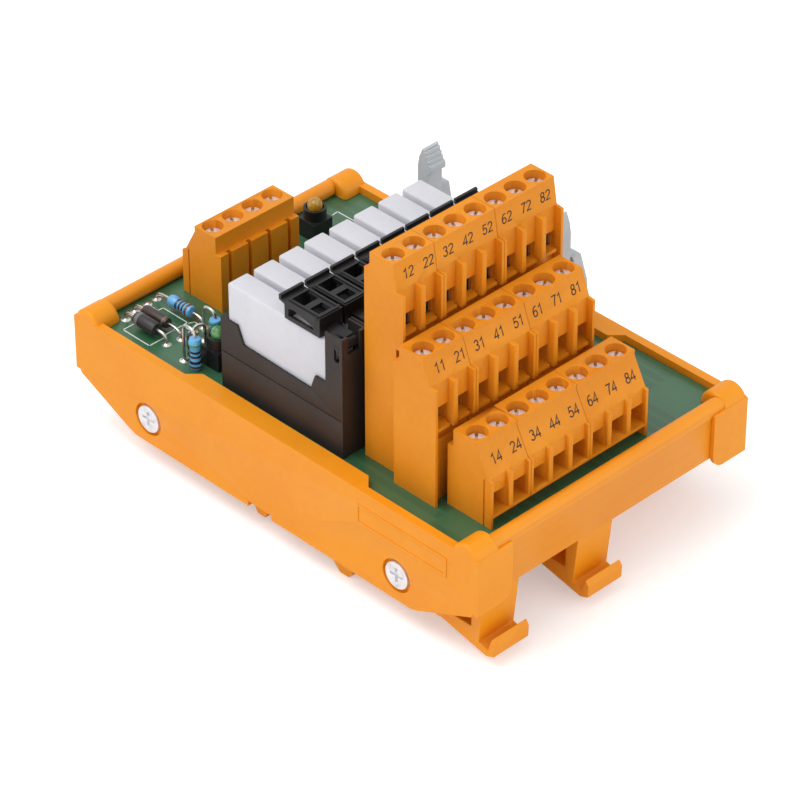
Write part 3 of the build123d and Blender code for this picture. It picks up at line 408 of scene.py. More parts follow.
@dataclass(frozen=True)
class Lacquer(Finish):
    """Coloured lacquer with rings painted round the body at set distances along its axis."""

    colour: Colour
    axis: Axis
    rings: tuple[tuple[float, float, Colour], ...]
    roughness: float = 0.28
    coat: float = 0.4

    def lay(self, surface: Surface) -> None:
        """Write the lacquer's nodes."""
        ripple = surface.noise(0.7, 3.0)
        along = surface.axis(self.axis.value) + (ripple - 0.5) * 0.00012
        darker = tuple(0.82 * v for v in self.colour)
        colour = surface.mix(ripple.ramp(0.35, 0.7), self.colour, darker)
        for centre, width, paint in self.rings:
            away = abs(along - centre * MM)
            ring = 1.0 - away.ramp(width * MM * 0.42, width * MM * 0.58)
            colour = surface.mix(ring, colour, paint)
        surface.shade(Base_Color=colour, Roughness=self.roughness + ripple * 0.1,
                      Coat_Weight=self.coat, Coat_Roughness=0.12,
                      Normal=surface.bump(ripple, 0.03, 0.8))


@dataclass(frozen=True)
class Ink(Finish):
    """Matt printing ink with slightly uneven cover."""

    colour: Colour
    thin: Colour

    def lay(self, surface: Surface) -> None:
        """Write the ink's nodes."""
        cover = surface.noise(0.35, 4.0, 0.7)
        colour = surface.mix(cover.ramp(0.5, 0.8), self.colour, self.thin)
        surface.shade(Base_Color=colour, Roughness=0.62 + cover * 0.1,
                      Normal=surface.bump(cover, 0.004, 0.6))


@dataclass(frozen=True)
class StudioFloor(Finish):
    """A pale floor that looks white to the camera and keeps the object's shadow."""

    colour: Colour
    lift: float

    def lay(self, surface: Surface) -> None:
        """Write the floor's nodes."""
        ray = surface.out(surface.add("ShaderNodeLightPath"), "Is Camera Ray")
        paper = surface.noise(3.0, 3.0)
        colour = surface.mix(paper * 0.3, self.colour, tuple(0.985 * v for v in self.colour))
        diffuse = surface.add("ShaderNodeBsdfDiffuse", None, {"Color": colour})
        light = surface.add("ShaderNodeEmission", None,
                            {"Color": (1.0, 1.0, 1.0), "Strength": ray * self.lift})
        both = surface.add("ShaderNodeAddShader", None,
                           {0: surface.out(diffuse), 1: surface.out(light)})
        surface.add("ShaderNodeOutputMaterial", None, {"Surface": surface.out(both)})


CARRIER_PLASTIC = Moulding("carrier_plastic", "carrier_orange", srgb("EE9719"), srgb("EA9014"),
                           roughness=0.40, scatter=0.05, glint=0.3)
CARRIER_EXTRUSION = Extrusion("carrier_extrusion", "carrier_orange", srgb("EC951B"),
                              srgb("E78D16"), roughness=0.36, scatter=0.05, glint=0.36)
TERMINAL_PLASTIC = Moulding("terminal_plastic", "terminal_orange", srgb("E38E18"), srgb("DC8513"),
                            roughness=0.5, scatter=0.05, depth_mm=0.008, glint=0.3)
RELAY_PLASTIC = Moulding("relay_plastic", "relay_white", srgb("D4D4DA"), srgb("CDCDD4"),
                         roughness=0.42, grain_mm=0.2, depth_mm=0.004, scatter=0.04, glint=0.35)
SOCKET_PLASTIC = Moulding("socket_plastic", "socket_black", srgb("332B28"), srgb("2A2422"),
                          roughness=0.46, grain_mm=0.14, depth_mm=0.010, glint=0.3)
CLIP_PLASTIC = Moulding("clip_plastic", "clip_black", srgb("1E1D1F"), srgb("171618"),
                        roughness=0.38, grain_mm=0.15, depth_mm=0.006, glint=0.35)
HEADER_PLASTIC = Moulding("header_plastic", "header_grey", srgb("BFC4C8"), srgb("B4B9BE"),
                          roughness=0.5, depth_mm=0.007, scatter=0.04, glint=0.35)
SCREW_ZINC = Plating("screw_zinc", "zinc_steel", srgb("ECECEF"), srgb("CFD1D6"),
                     roughness=0.38, metal=0.45)
PIN_TIN = Plating("pin_tin", "tinned_metal", srgb("CFCDC8"), srgb("A39F98"), roughness=0.32)
LEAD_TIN = Plating("lead_tin", "resistor_blue", srgb("CDCBC7"), srgb("9E9A94"), roughness=0.28)
DIODE_LEAD_TIN = Plating("diode_lead_tin", "diode_dark", srgb("CDCBC7"), srgb("9E9A94"),
                         roughness=0.28)
BOARD_MASK = SolderMask("board_mask", "board_green", srgb("2F5D3E"), srgb("3C6E4C"))
PAD_TIN = Plating("pad_tin", "board_green", srgb("D8D8D6"), srgb("AFAFAC"), roughness=0.35)
BOARD_INK = Ink("board_ink", "board_green", srgb("E8ECE8"), srgb("B9C6BC"))
NUMBER_INK = Ink("number_ink", "terminal_orange", srgb("241A12"), srgb("4A2E14"))
# The second colour of each lens is its painted glow.
YELLOW_LENS = Lens("yellow_lens", "lens_yellow", srgb("E9A81C"), srgb("FFD75A"))
GREEN_LENS = Lens("green_lens", "lens_green", srgb("3FA24E"), srgb("A6E8A0"))
WHITE_FLOOR = StudioFloor("studio_floor", "", srgb("F4F4F4"), 0.34)


# Pieces

def settle(piece: bpy.types.Object, finish: Finish, body: str,
           replaced: Iterable[str] = ()) -> None:
    """Give a finished piece its finish, its body and the nodes that it stands for.

    Args:
        piece: The new object, at the origin with its place in its mesh.
        finish: What it is made of, used only where its faces have no materials yet.
        body: The body that it rides on.
        replaced: CAD nodes that it stands for.
    """
    if not piece.data.materials:
        piece.data.materials.append(finish.material())
    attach(piece, body)
    names = list(replaced)
    if names:
        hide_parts(*names)
    LOG.info("%s rides on %s with %d faces and stands for %s", piece.name, body,
             len(piece.data.polygons), ", ".join(names) or "nothing")


def dress(nodes: Iterable[str], finish: Finish) -> None:
    """Give CAD nodes that stay as they are a finish.

    Args:
        nodes: Names of the nodes.
        finish: Their finish.
    """
    for name in nodes:
        node = frame["nodes"][name]
        node.data.materials.clear()
        node.data.materials.append(finish.material())
        LOG.info("%s keeps its own shape and gets %s", name, finish.name)


def body_of(node: str) -> str:
    """The body that a CAD node belongs to."""
    groups = frame["record"]["behaviour"]["bodies"]
    return next(body for body, members in groups.items() if node in members)


def mesh_object(name: str, mesh: bpy.types.Mesh) -> bpy.types.Object:
    """Put a mesh in the scene."""
    made = bpy.data.objects.new(name, mesh)
    bpy.context.scene.collection.objects.link(made)
    return made


def from_bmesh(name: str, build: bmesh.types.BMesh, smooth_deg: float = 35.0) -> bpy.types.Object:
    """Turn a finished bmesh into an object with smooth faces and sharp edges.

    Args:
        name: The object's name.
        build: The mesh, which is freed.
        smooth_deg: Edges that turn by more than this stay sharp.

    Returns:
        The object.
    """
    mesh = bpy.data.meshes.new(name)
    build.to_mesh(mesh)
    build.free()
    mesh.shade_smooth()
    mesh.set_sharp_from_angle(angle=math.radians(smooth_deg))
    return mesh_object(name, mesh)


def bake(carrier: bpy.types.Object, name: str) -> bpy.types.Object:
    """Turn an object with live modifiers into a plain mesh and remove the original.

    Args:
        carrier: The object with its modifiers.
        name: The name for the plain one.

    Returns:
        The plain object, at the origin.
    """
    graph = bpy.context.evaluated_depsgraph_get()
    graph.update()
    mesh = bpy.data.meshes.new_from_object(carrier.evaluated_get(graph), depsgraph=graph)
    mesh.transform(carrier.matrix_world)
    bpy.data.objects.remove(carrier)
    mesh.name = name
    return mesh_object(name, mesh)


def join(name: str, parts: Sequence[bpy.types.Object]) -> bpy.types.Object:
    """Make one object of several plain ones, which are removed.

    Args:
        name: The name of the result.
        parts: Objects at the origin.

    Returns:
        The joined object.
    """
    materials: list[bpy.types.Material] = []
    build = bmesh.new()
    for part in parts:
        start = len(build.faces)
        build.from_mesh(part.data)
        build.faces.ensure_lookup_table()
        slots = []
        for material in part.data.materials:
            if material not in materials:
                materials.append(material)
            slots.append(materials.index(material))
        for face in build.faces[start:]:
            face.material_index = slots[min(face.material_index, len(slots) - 1)] if slots else 0
        bpy.data.objects.remove(part)
    made = from_bmesh(name, build)
    for material in materials:
        made.data.materials.append(material)
    return made


def lathe(profile: Sequence[Pair], turns: int = 32) -> bmesh.types.BMesh:
    """Turn a profile about Z.

    Args:
        profile: Radius and height pairs in millimetres, from the bottom up, ending on the axis.
        turns: How many faces go round.

    Returns:
        A closed mesh.
    """
    build = bmesh.new()
    points = [build.verts.new((radius * MM, 0.0, height * MM)) for radius, height in profile]
    edges = [build.edges.new(pair) for pair in zip(points, points[1:])]
    bmesh.ops.spin(build, geom=points + edges, axis=(0, 0, 1), cent=(0, 0, 0), steps=turns,
                   angle=math.tau, use_merge=False)
    bmesh.ops.remove_doubles(build, verts=build.verts, dist=1e-7)
    bmesh.ops.recalc_face_normals(build, faces=build.faces)
    return build


def tube(name: str, path: Sequence[Triple], radius_mm: float) -> bpy.types.Object:
    """A round wire along points, in millimetres.

    Args:
        name: The object's name.
        path: Points of the wire's middle line.
        radius_mm: Radius of the wire.

    Returns:
        A mesh object.
    """
    curve = bpy.data.curves.new(name, "CURVE")
    curve.dimensions = "3D"
    curve.bevel_depth = radius_mm * MM
    curve.bevel_resolution = 2
    curve.use_fill_caps = True
    line = curve.splines.new("POLY")
    line.points.add(len(path) - 1)
    for point, place in zip(line.points, path):
        point.co = (*[v * MM for v in place], 1.0)
    carrier = bpy.data.objects.new(name, curve)
    bpy.context.scene.collection.objects.link(carrier)
    made = bake(carrier, name)
    made.data.shade_smooth()
    return made


@dataclass(frozen=True)
class EdgeBreak:
    """How the sharp edges of a moulding are broken."""

    width_mm: float
    segments: int = 2
    angle_deg: float = 40.0
    flat_deg: float = 0.6

    def copy_of(self, node: str, name: str) -> bpy.types.Object:
        """Copy a CAD node's solid and round its edges.

        Args:
            node: The CAD node.
            name: The new piece's name.

        Returns:
            The rounded copy.
        """
        build = bmesh.new()
        build.from_mesh(frame["nodes"][node].data)
        bmesh.ops.remove_doubles(build, verts=build.verts, dist=2e-6)
        bmesh.ops.dissolve_limit(build, angle_limit=math.radians(self.flat_deg),
                                 verts=build.verts, edges=build.edges)
        carrier = from_bmesh(name, build, self.angle_deg)
        rounding = carrier.modifiers.new("rounding", "BEVEL")
        rounding.width = self.width_mm * MM
        rounding.segments = self.segments
        rounding.limit_method = "ANGLE"
        rounding.angle_limit = math.radians(self.angle_deg)
        rounding.use_clamp_overlap = True
        rounding.miter_outer = "MITER_ARC"
        rounding.harden_normals = True
        made = bake(carrier, name)
        made.data.materials.clear()
        return made


class PatternTree:
    """A Geometry Nodes tree that sets a pattern on points and gives every copy its finish."""

    def __init__(self, name: str, sockets: Sequence[tuple[str, str]]) -> None:
        """Start the tree with its named inputs.

        Args:
            name: The tree's name.
            sockets: Names and kinds of its own inputs, before the two that every tree has.
        """
        self.group = bpy.data.node_groups.new(name, "GeometryNodeTree")
        face = self.group.interface
        self.inputs: dict[str, str] = {}
        for label, kind in (*sockets, ("Pattern", "Object"), ("Finish", "Material")):
            socket = face.new_socket(label, in_out="INPUT", socket_type=f"NodeSocket{kind}")
            self.inputs[label] = socket.identifier
        face.new_socket("Geometry", in_out="OUTPUT", socket_type="NodeSocketGeometry")
        self.desk = Desk(self.group)
        self.entry = self.desk.add("NodeGroupInput")

    def given(self, name: str) -> Wire:
        """The wire from one of the tree's inputs."""
        return self.desk.out(self.entry, name)

    def finish_tree(self, points: Wire, rotation: Optional[Wire] = None) -> None:
        """Set the pattern on the points, make the copies real and paint them.

        Args:
            points: Where the copies go.
            rotation: How each copy is turned.
        """
        desk = self.desk
        pattern = desk.add("GeometryNodeObjectInfo", {"transform_space": "ORIGINAL"},
                           {"Object": self.given("Pattern"), "As Instance": True})
        inputs = {"Points": points, "Instance": desk.out(pattern, "Geometry")}
        if rotation is not None:
            inputs["Rotation"] = rotation
        spots = desk.add("GeometryNodeInstanceOnPoints", None, inputs)
        real = desk.add("GeometryNodeRealizeInstances", None, {"Geometry": desk.out(spots)})
        painted = desk.add("GeometryNodeSetMaterial", None,
                           {"Geometry": desk.out(real), "Material": self.given("Finish")})
        desk.add("NodeGroupOutput", None, {"Geometry": desk.out(painted)})

    def grow(self, mesh: bpy.types.Mesh, values: Mapping[str, Any]) -> bpy.types.Object:
        """Run the tree on a mesh, and remove the pattern afterwards.

        Args:
            mesh: The mesh that the tree starts from, named as the piece is.
            values: The inputs' values by their names.

        Returns:
            One plain mesh with all the copies.
        """
        carrier = mesh_object(mesh.name, mesh)
        modifier = carrier.modifiers.new("copies", "NODES")
        modifier.node_group = self.group
        for label, value in values.items():
            modifier[self.inputs[label]] = value
        made = bake(carrier, mesh.name)
        bpy.data.objects.remove(values["Pattern"])
        return made


class Repeat(PatternTree):
    """A tree that sets one pattern on every point of a mesh."""

    def __init__(self) -> None:
        """Build the tree."""
        super().__init__("repeat_on_points", (
            ("Points", "Geometry"), ("Turn", "Float"), ("Spread", "Float"), ("Seed", "Int")))
        desk = self.desk
        spread = self.given("Spread")
        chance = desk.add("FunctionNodeRandomValue", {"data_type": "FLOAT"})
        desk.plug(chance.inputs[2], spread * -1.0)
        desk.plug(chance.inputs[3], spread)
        desk.plug(chance.inputs["Seed"], self.given("Seed"))
        angle = desk.out(chance, 1) + self.given("Turn")
        turned = desk.add("ShaderNodeCombineXYZ", None, {"Z": angle})
        self.finish_tree(self.given("Points"), desk.out(turned))

    def run(self, name: str, pattern: bpy.types.Object, points: Sequence[Triple], finish: Finish,
            turn_deg: float = 0.0, spread_deg: float = 0.0, seed: int = 7) -> bpy.types.Object:
        """Repeat a pattern.

        Args:
            name: The piece's name.
            pattern: The object to repeat, which is removed afterwards.
            points: Where its origin goes, in millimetres.
            finish: The finish of every copy.
            turn_deg: How far each copy is turned about Z.
            spread_deg: How far a copy may stray from that turn, either way.
            seed: Seed for the strays.

        Returns:
            One plain mesh with all the copies.
        """
        mesh = bpy.data.meshes.new(name)
        mesh.from_pydata([tuple(v * MM for v in point) for point in points], [], [])
        return self.grow(mesh, {
            "Pattern": pattern, "Turn": math.radians(turn_deg),
            "Spread": math.radians(spread_deg), "Seed": seed, "Finish": finish.material()})


class RowTree(PatternTree):
    """A tree that sets a pattern at an even pitch along X."""

    def __init__(self) -> None:
        """Build the tree."""
        super().__init__("row_at_pitch", (
            ("Count", "Int"), ("Pitch", "Float"), ("First", "Vector")))
        step = self.desk.add("ShaderNodeCombineXYZ", None, {"X": self.given("Pitch")})
        line = self.desk.add("GeometryNodeMeshLine", {"mode": "OFFSET"}, {
            "Count": self.given("Count"), "Start Location": self.given("First"),
            "Offset": self.desk.out(step)})
        self.finish_tree(self.desk.out(line))

    def run(self, name: str, pattern: bpy.types.Object, count: int, pitch_mm: float, first: Triple,
            finish: Finish) -> bpy.types.Object:
        """Repeat a pattern in a row.

        Args:
            name: The piece's name.
            pattern: The object to repeat, which is removed afterwards.
            count: How many.
            pitch_mm: Distance between neighbours.
            first: Where the first one's origin goes, in millimetres.
            finish: The finish of every copy.

        Returns:
            One plain mesh with all the copies.
        """
        return self.grow(bpy.data.meshes.new(name), {
            "Pattern": pattern, "Count": count, "Pitch": pitch_mm * MM,
            "First": tuple(v * MM for v in first), "Finish": finish.material()})


# Sub-assemblies

@dataclass
class Carrier:
    """The extruded profile, its two covers, their screws and the rail feet."""

    cover_break: EdgeBreak = EdgeBreak(0.35, 3)
    profile_break: EdgeBreak = EdgeBreak(0.25, 2)
    foot_break: EdgeBreak = EdgeBreak(0.3, 2)
    screw_break: EdgeBreak = EdgeBreak(0.12, 2)

    def build(self) -> None:
        """Round and dress every piece of the carrier."""
        plan = (
            ("carrier_profile", self.profile_break, CARRIER_EXTRUSION),
            ("end_cover_left", self.cover_break, CARRIER_PLASTIC),
            ("end_cover_right", self.cover_break, CARRIER_PLASTIC),
            ("rail_foot_outer", self.foot_break, CARRIER_PLASTIC),
            ("rail_foot_inner", self.foot_break, CARRIER_PLASTIC),
            ("cover_screws", self.screw_break, SCREW_ZINC),
        )
        for node, edges, finish in plan:
            work = "cut" if finish is SCREW_ZINC else "moulded"
            settle(edges.copy_of(node, f"{node}_{work}"), finish, body_of(node), [node])


class Stroke:
    """Pen strokes of the pole numbers' digits, in a box that is 1 high."""

    WIDTH = 0.58

    @staticmethod
    def bow(centre: Pair, radii: Pair, start: float, end: float, steps: int = 10) -> list[Pair]:
        """Points of an elliptical arc.

        Args:
            centre: The arc's centre.
            radii: Its half width and half height.
            start: Where it starts, in degrees from the right, turning to the left.
            end: Where it ends.
            steps: How many pieces it has.

        Returns:
            The points in order.
        """
        turns = [math.radians(start + (end - start) * n / steps) for n in range(steps + 1)]
        return [(centre[0] + radii[0] * math.cos(t), centre[1] + radii[1] * math.sin(t))
                for t in turns]

    @classmethod
    def of(cls, digit: str) -> list[list[Pair]]:
        """The strokes of one digit."""
        bow = cls.bow
        shapes: dict[str, list[list[Pair]]] = {
            "1": [[(0.08, 0.74), (0.22, 0.80), (0.34, 0.97), (0.34, 0.0)]],
            "2": [bow((0.29, 0.71), (0.23, 0.24), 170, -38) + [(0.06, 0.05), (0.55, 0.05)]],
            "3": [bow((0.27, 0.73), (0.20, 0.22), 165, -90),
                  bow((0.27, 0.275), (0.24, 0.235), 90, -165)],
            "4": [[(0.42, 0.0), (0.42, 0.95), (0.03, 0.27), (0.57, 0.27)]],
            "5": [[(0.50, 0.94), (0.15, 0.94), (0.09, 0.50)]
                  + bow((0.28, 0.33), (0.24, 0.285), 130, -160)],
            "6": [bow((0.29, 0.31), (0.22, 0.265), 0, 360, 18),
                  bow((0.40, 0.45), (0.34, 0.50), 75, 190)],
            "7": [[(0.04, 0.94), (0.54, 0.94), (0.36, 0.60), (0.22, 0.0)]],
            "8": [bow((0.29, 0.735), (0.19, 0.215), 0, 360, 18),
                  bow((0.29, 0.28), (0.235, 0.24), 0, 360, 18)],
        }
        return shapes[digit]


@dataclass(frozen=True)
class TerminalRow:
    """One row of screw terminals.

    The slant is given as two points in front of the screws' line and below the top: where the
    upright front turns into the slanted face, and where that face ends.
    """

    left: float
    hole_y: float
    top: float
    poles: int
    digit: Optional[int]
    slant_start: Pair = (2.4, 0.3)
    slant_end: Pair = (4.25, 5.2)


@dataclass
class TerminalBank:
    """Housings, clamp screws, cages and strips of all four rows, with the poles' numbers."""

    pitch: float = 5.08
    head_radius: float = 1.9
    head_height: float = 1.8
    head_depth: float = 1.5
    shank_length: float = 5.9
    shank_radius: float = 1.2
    slot_width: float = 0.62
    slot_depth: float = 0.8
    digit_height: float = 2.05
    digit_step: float = 0.66
    number_pitch: float = 4.92
    number_shift: float = 0.95
    pen_width: float = 0.25
    ink_lift: float = 0.02
    screw_turn_deg: float = -45.0
    screw_stray_deg: float = 16.0
    first_seed: int = 11
    edge: EdgeBreak = EdgeBreak(0.015, 1)
    rows: tuple[TerminalRow, ...] = (
        TerminalRow(-25.6, -41.1, 35.7, 8, 4, (2.4, 1.2), (5.3, 6.7)),
        TerminalRow(-28.1, -30.04, 49.4, 8, 1, (2.4, 0.3), (4.25, 5.2)),
        TerminalRow(-25.9, -20.44, 63.6, 8, 2, (2.4, 0.3), (3.25, 5.5)),
        TerminalRow(-13.9, 40.4, 35.0, 4, None),
    )
    housings: tuple[str, ...] = (
        "terminal_low_a", "terminal_low_b", "terminal_low_c", "terminal_mid_a", "terminal_mid_b",
        "terminal_mid_c", "terminal_top_a", "terminal_top_b", "terminal_top_c", "terminal_supply")

    def screw_pattern(self) -> bpy.types.Object:
        """A slotted screw with a turned head, its top at the origin."""
        low = -self.head_height
        tip = low - self.shank_length
        rim = self.head_radius
        body = from_bmesh("screw_pattern", lathe([
            (0.0, tip), (self.shank_radius, tip), (self.shank_radius, low), (rim - 0.1, low),
            (rim, low + 0.1), (rim, -0.28), (rim - 0.1, -0.12), (rim - 0.3, 0.0), (0.0, 0.0)], 40))
        cutter = bmesh.new()
        size = (self.slot_width * MM, rim * 2.2 * MM, self.slot_depth * 2 * MM)
        bmesh.ops.create_cube(cutter, size=1.0, matrix=Matrix.Diagonal((*size, 1.0)))
        blade = from_bmesh("screw_slot_cutter", cutter)
        cut = body.modifiers.new("slot", "BOOLEAN")
        cut.operation = "DIFFERENCE"
        cut.solver = "EXACT"
        cut.object = blade
        made = bake(body, "screw_pattern")
        bpy.data.objects.remove(blade)
        made.data.set_sharp_from_angle(angle=math.radians(30))
        return made

    def screws(self, repeat: Repeat) -> None:
        """Set a screw in every pole.

        Args:
            repeat: The tree that sets them.
        """
        parts = []
        for number, row in enumerate(self.rows):
            spots = [(row.left + self.pitch * (pole + 0.5), row.hole_y, row.top - self.head_depth)
                     for pole in range(row.poles)]
            parts.append(repeat.run(f"screws_{number}", self.screw_pattern(), spots, SCREW_ZINC,
                                    self.screw_turn_deg, self.screw_stray_deg,
                                    self.first_seed + number))
        settle(join("terminal_screws_slotted", parts), SCREW_ZINC, ROOT, ["terminal_screws"])

    def number(self, row: TerminalRow, pole: int) -> bpy.types.Object:
        """Print one pole's number on the slanted face above its wire opening.

        Args:
            row: The row of the pole.
            pole: The pole's place in the row, from nought.

        Returns:
            A thin mesh that lies on the face.
        """
        first, last = Vector(row.slant_start), Vector(row.slant_end)
        down = (last - first).normalized()
        up = Vector((0.0, down.x, down.y))
        normal = Vector((0.0, -down.y, down.x))
        middle = (first + last) / 2
        across = row.left + self.pitch * 0.5 + self.number_shift + self.number_pitch * pole
        centre = Vector((across, row.hole_y - middle.x, row.top - middle.y))
        build = bmesh.new()
        size = self.digit_height
        for place, digit in enumerate(f"{pole + 1}{row.digit}"):
            shift = (place - 0.5) * self.digit_step - Stroke.WIDTH / 2
            for line in Stroke.of(digit):
                spots = [Vector((x + shift, y - 0.5)) * size for x, y in line]
                self.pen(build, spots, centre, up, normal)
        return from_bmesh(f"number_{row.digit}_{pole}", build)

    def pen(self, build: bmesh.types.BMesh, line: Sequence[Vector], centre: Vector, up: Vector,
            normal: Vector) -> None:
        """Draw one stroke as a thin raised band.

        Args:
            build: The mesh that gets the band.
            line: The stroke's points on the face, in millimetres from its middle.
            centre: The middle of the number.
            up: The face's upward direction.
            normal: The direction that the face looks in.
        """
        half = self.pen_width / 2
        closed = (line[0] - line[-1]).length < 1e-6
        spots = list(line[:-1]) if closed else list(line)
        count = len(spots)
        rings = []
        for n, spot in enumerate(spots):
            ways = []
            if closed or n > 0:
                ways.append((spot - spots[n - 1]).normalized())
            if closed or n < count - 1:
                ways.append((spots[(n + 1) % count] - spot).normalized())
            across = [Vector((-way.y, way.x)) for way in ways]
            side = sum(across, Vector((0.0, 0.0))).normalized()
            reach = half / max(0.5, side.dot(across[0]))
            ring = []
            edge = side * reach
            for offset, lift in ((edge, 0.0), (-edge, 0.0), (-edge, self.ink_lift),
                                 (edge, self.ink_lift)):
                flat = spot + offset
                place = centre + Vector((flat.x, 0.0, 0.0)) + up * flat.y + normal * lift
                ring.append(build.verts.new(place * MM))
            rings.append(ring)
        pairs = list(zip(rings, rings[1:])) + ([(rings[-1], rings[0])] if closed else [])
        for a, b in pairs:
            for n in range(4):
                build.faces.new((a[n], a[(n + 1) % 4], b[(n + 1) % 4], b[n]))
        if not closed:
            build.faces.new(list(reversed(rings[0])))
            build.faces.new(rings[-1])
        bmesh.ops.recalc_face_normals(build, faces=build.faces)

    def build(self, repeat: Repeat) -> None:
        """Dress the housings and metal parts, and print the numbers.

        Args:
            repeat: The tree that sets the screws.
        """
        for node in self.housings:
            settle(self.edge.copy_of(node, f"{node}_housing"), TERMINAL_PLASTIC, ROOT, [node])
        dress(("clamp_cages", "terminal_contacts"), PIN_TIN)
        self.screws(repeat)
        digits = [self.number(row, pole) for row in self.rows if row.digit is not None
                  for pole in range(row.poles)]
        settle(join("terminal_numbers", digits), NUMBER_INK, ROOT)


@dataclass
class RelayBank:
    """Relays in their sockets, with the clips that hold them down."""

    count: int = 8
    pitch: float = 6.35
    first_x: float = -26.65
    back: float = -11.14
    length: float = 28.0
    width: float = 5.0
    bottom: float = 27.1
    height: float = 15.0
    round_mm: float = 0.5
    mark_place: Pair = (0.3, 15.5)
    pin_places: tuple[float, ...] = (2.6, 7.6, 12.6, 20.1, 25.1)
    pin_size: Triple = (0.5, 1.0, 3.5)
    pin_level: float = -1.72
    socket_edge: EdgeBreak = EdgeBreak(0.12, 2)
    clip_edge: EdgeBreak = EdgeBreak(0.12, 2)

    def relay_pattern(self) -> bpy.types.Object:
        """A relay's case with rounded edges, an ejector mark on top and pins below."""
        build = bmesh.new()
        size = (self.width * MM, self.length * MM, self.height * MM)
        bmesh.ops.create_cube(build, size=1.0, matrix=Matrix.Diagonal((*size, 1.0)))
        bmesh.ops.translate(build, verts=build.verts, vec=(0, size[1] / 2, size[2] / 2))
        case = from_bmesh("relay_case", build)
        rounding = case.modifiers.new("rounding", "BEVEL")
        rounding.width = self.round_mm * MM
        rounding.segments = 5
        rounding.harden_normals = True
        case = bake(case, "relay_case")
        mark = lathe([(0.0, -0.02), (0.34, -0.02), (0.34, 0.02), (0.26, 0.02), (0.22, -0.01),
                      (0.0, -0.01)], 16)
        bmesh.ops.translate(mark, verts=mark.verts,
                            vec=[v * MM for v in (*self.mark_place, self.height)])
        dot = from_bmesh("ejector_mark", mark)
        pins = bmesh.new()
        shape = Matrix.Diagonal((*[v * MM for v in self.pin_size], 1.0))
        for offset in self.pin_places:
            place = Matrix.Translation((0, offset * MM, self.pin_level * MM))
            bmesh.ops.create_cube(pins, size=1.0, matrix=place @ shape)
        return join("relay_pattern", [case, dot, from_bmesh("relay_pins", pins)])

    def build(self, row: RowTree) -> None:
        """Set the relays, and dress their sockets, contacts and clips.

        Args:
            row: The tree that sets the relays.
        """
        piece = row.run("relays_cased", self.relay_pattern(), self.count, self.pitch,
                        (self.first_x, self.back, self.bottom), RELAY_PLASTIC)
        settle(piece, RELAY_PLASTIC, ROOT, [f"relay_{n + 1}" for n in range(self.count)])
        for number in range(1, self.count + 1):
            socket = f"socket_{number}"
            settle(self.socket_edge.copy_of(socket, f"{socket}_moulded"), SOCKET_PLASTIC, ROOT,
                   [socket])
            clip = f"clip_{number}"
            settle(self.clip_edge.copy_of(clip, f"{clip}_moulded"), CLIP_PLASTIC, clip, [clip])
        dress(["socket_contacts"], PIN_TIN)


class Side(Enum):
    """The two ends of the header."""

    REAR = "rear"
    FRONT = "front"


@dataclass
class CableHeader:
    """The ribbon cable header with its two latches and square pins."""

    edge: EdgeBreak = EdgeBreak(0.18, 2)

    def build(self) -> None:
        """Round and dress the header's mouldings and its pins."""
        for node in ("header_box", *(f"header_latch_{side.value}" for side in Side)):
            settle(self.edge.copy_of(node, f"{node}_moulded"), HEADER_PLASTIC, body_of(node),
                   [node])
        dress(["header_pins"], PIN_TIN)


@dataclass(frozen=True)
class Axial:
    """A leaded part that lies flat along Y: its body, pads and height over the board."""

    name: str
    x: float
    body: Pair
    pads: Pair
    radius: float
    waist: float
    axis_height: float
    finish: Finish
    leads: Finish


@dataclass(frozen=True)
class Standing:
    """A leaded part that stands on one lead, the other bent over to its pad."""

    name: str
    foot: Pair
    pad: Pair
    radius: float
    waist: float
    length: float
    finish: Finish
    leads: Finish


BROWN = srgb("5A3A24")
BLACK = srgb("1E1C1C")
GREEN = srgb("2E9A58")
GREY = srgb("8C8C8C")
NAVY = srgb("1F3350")
BLUE = srgb("62B0E6")


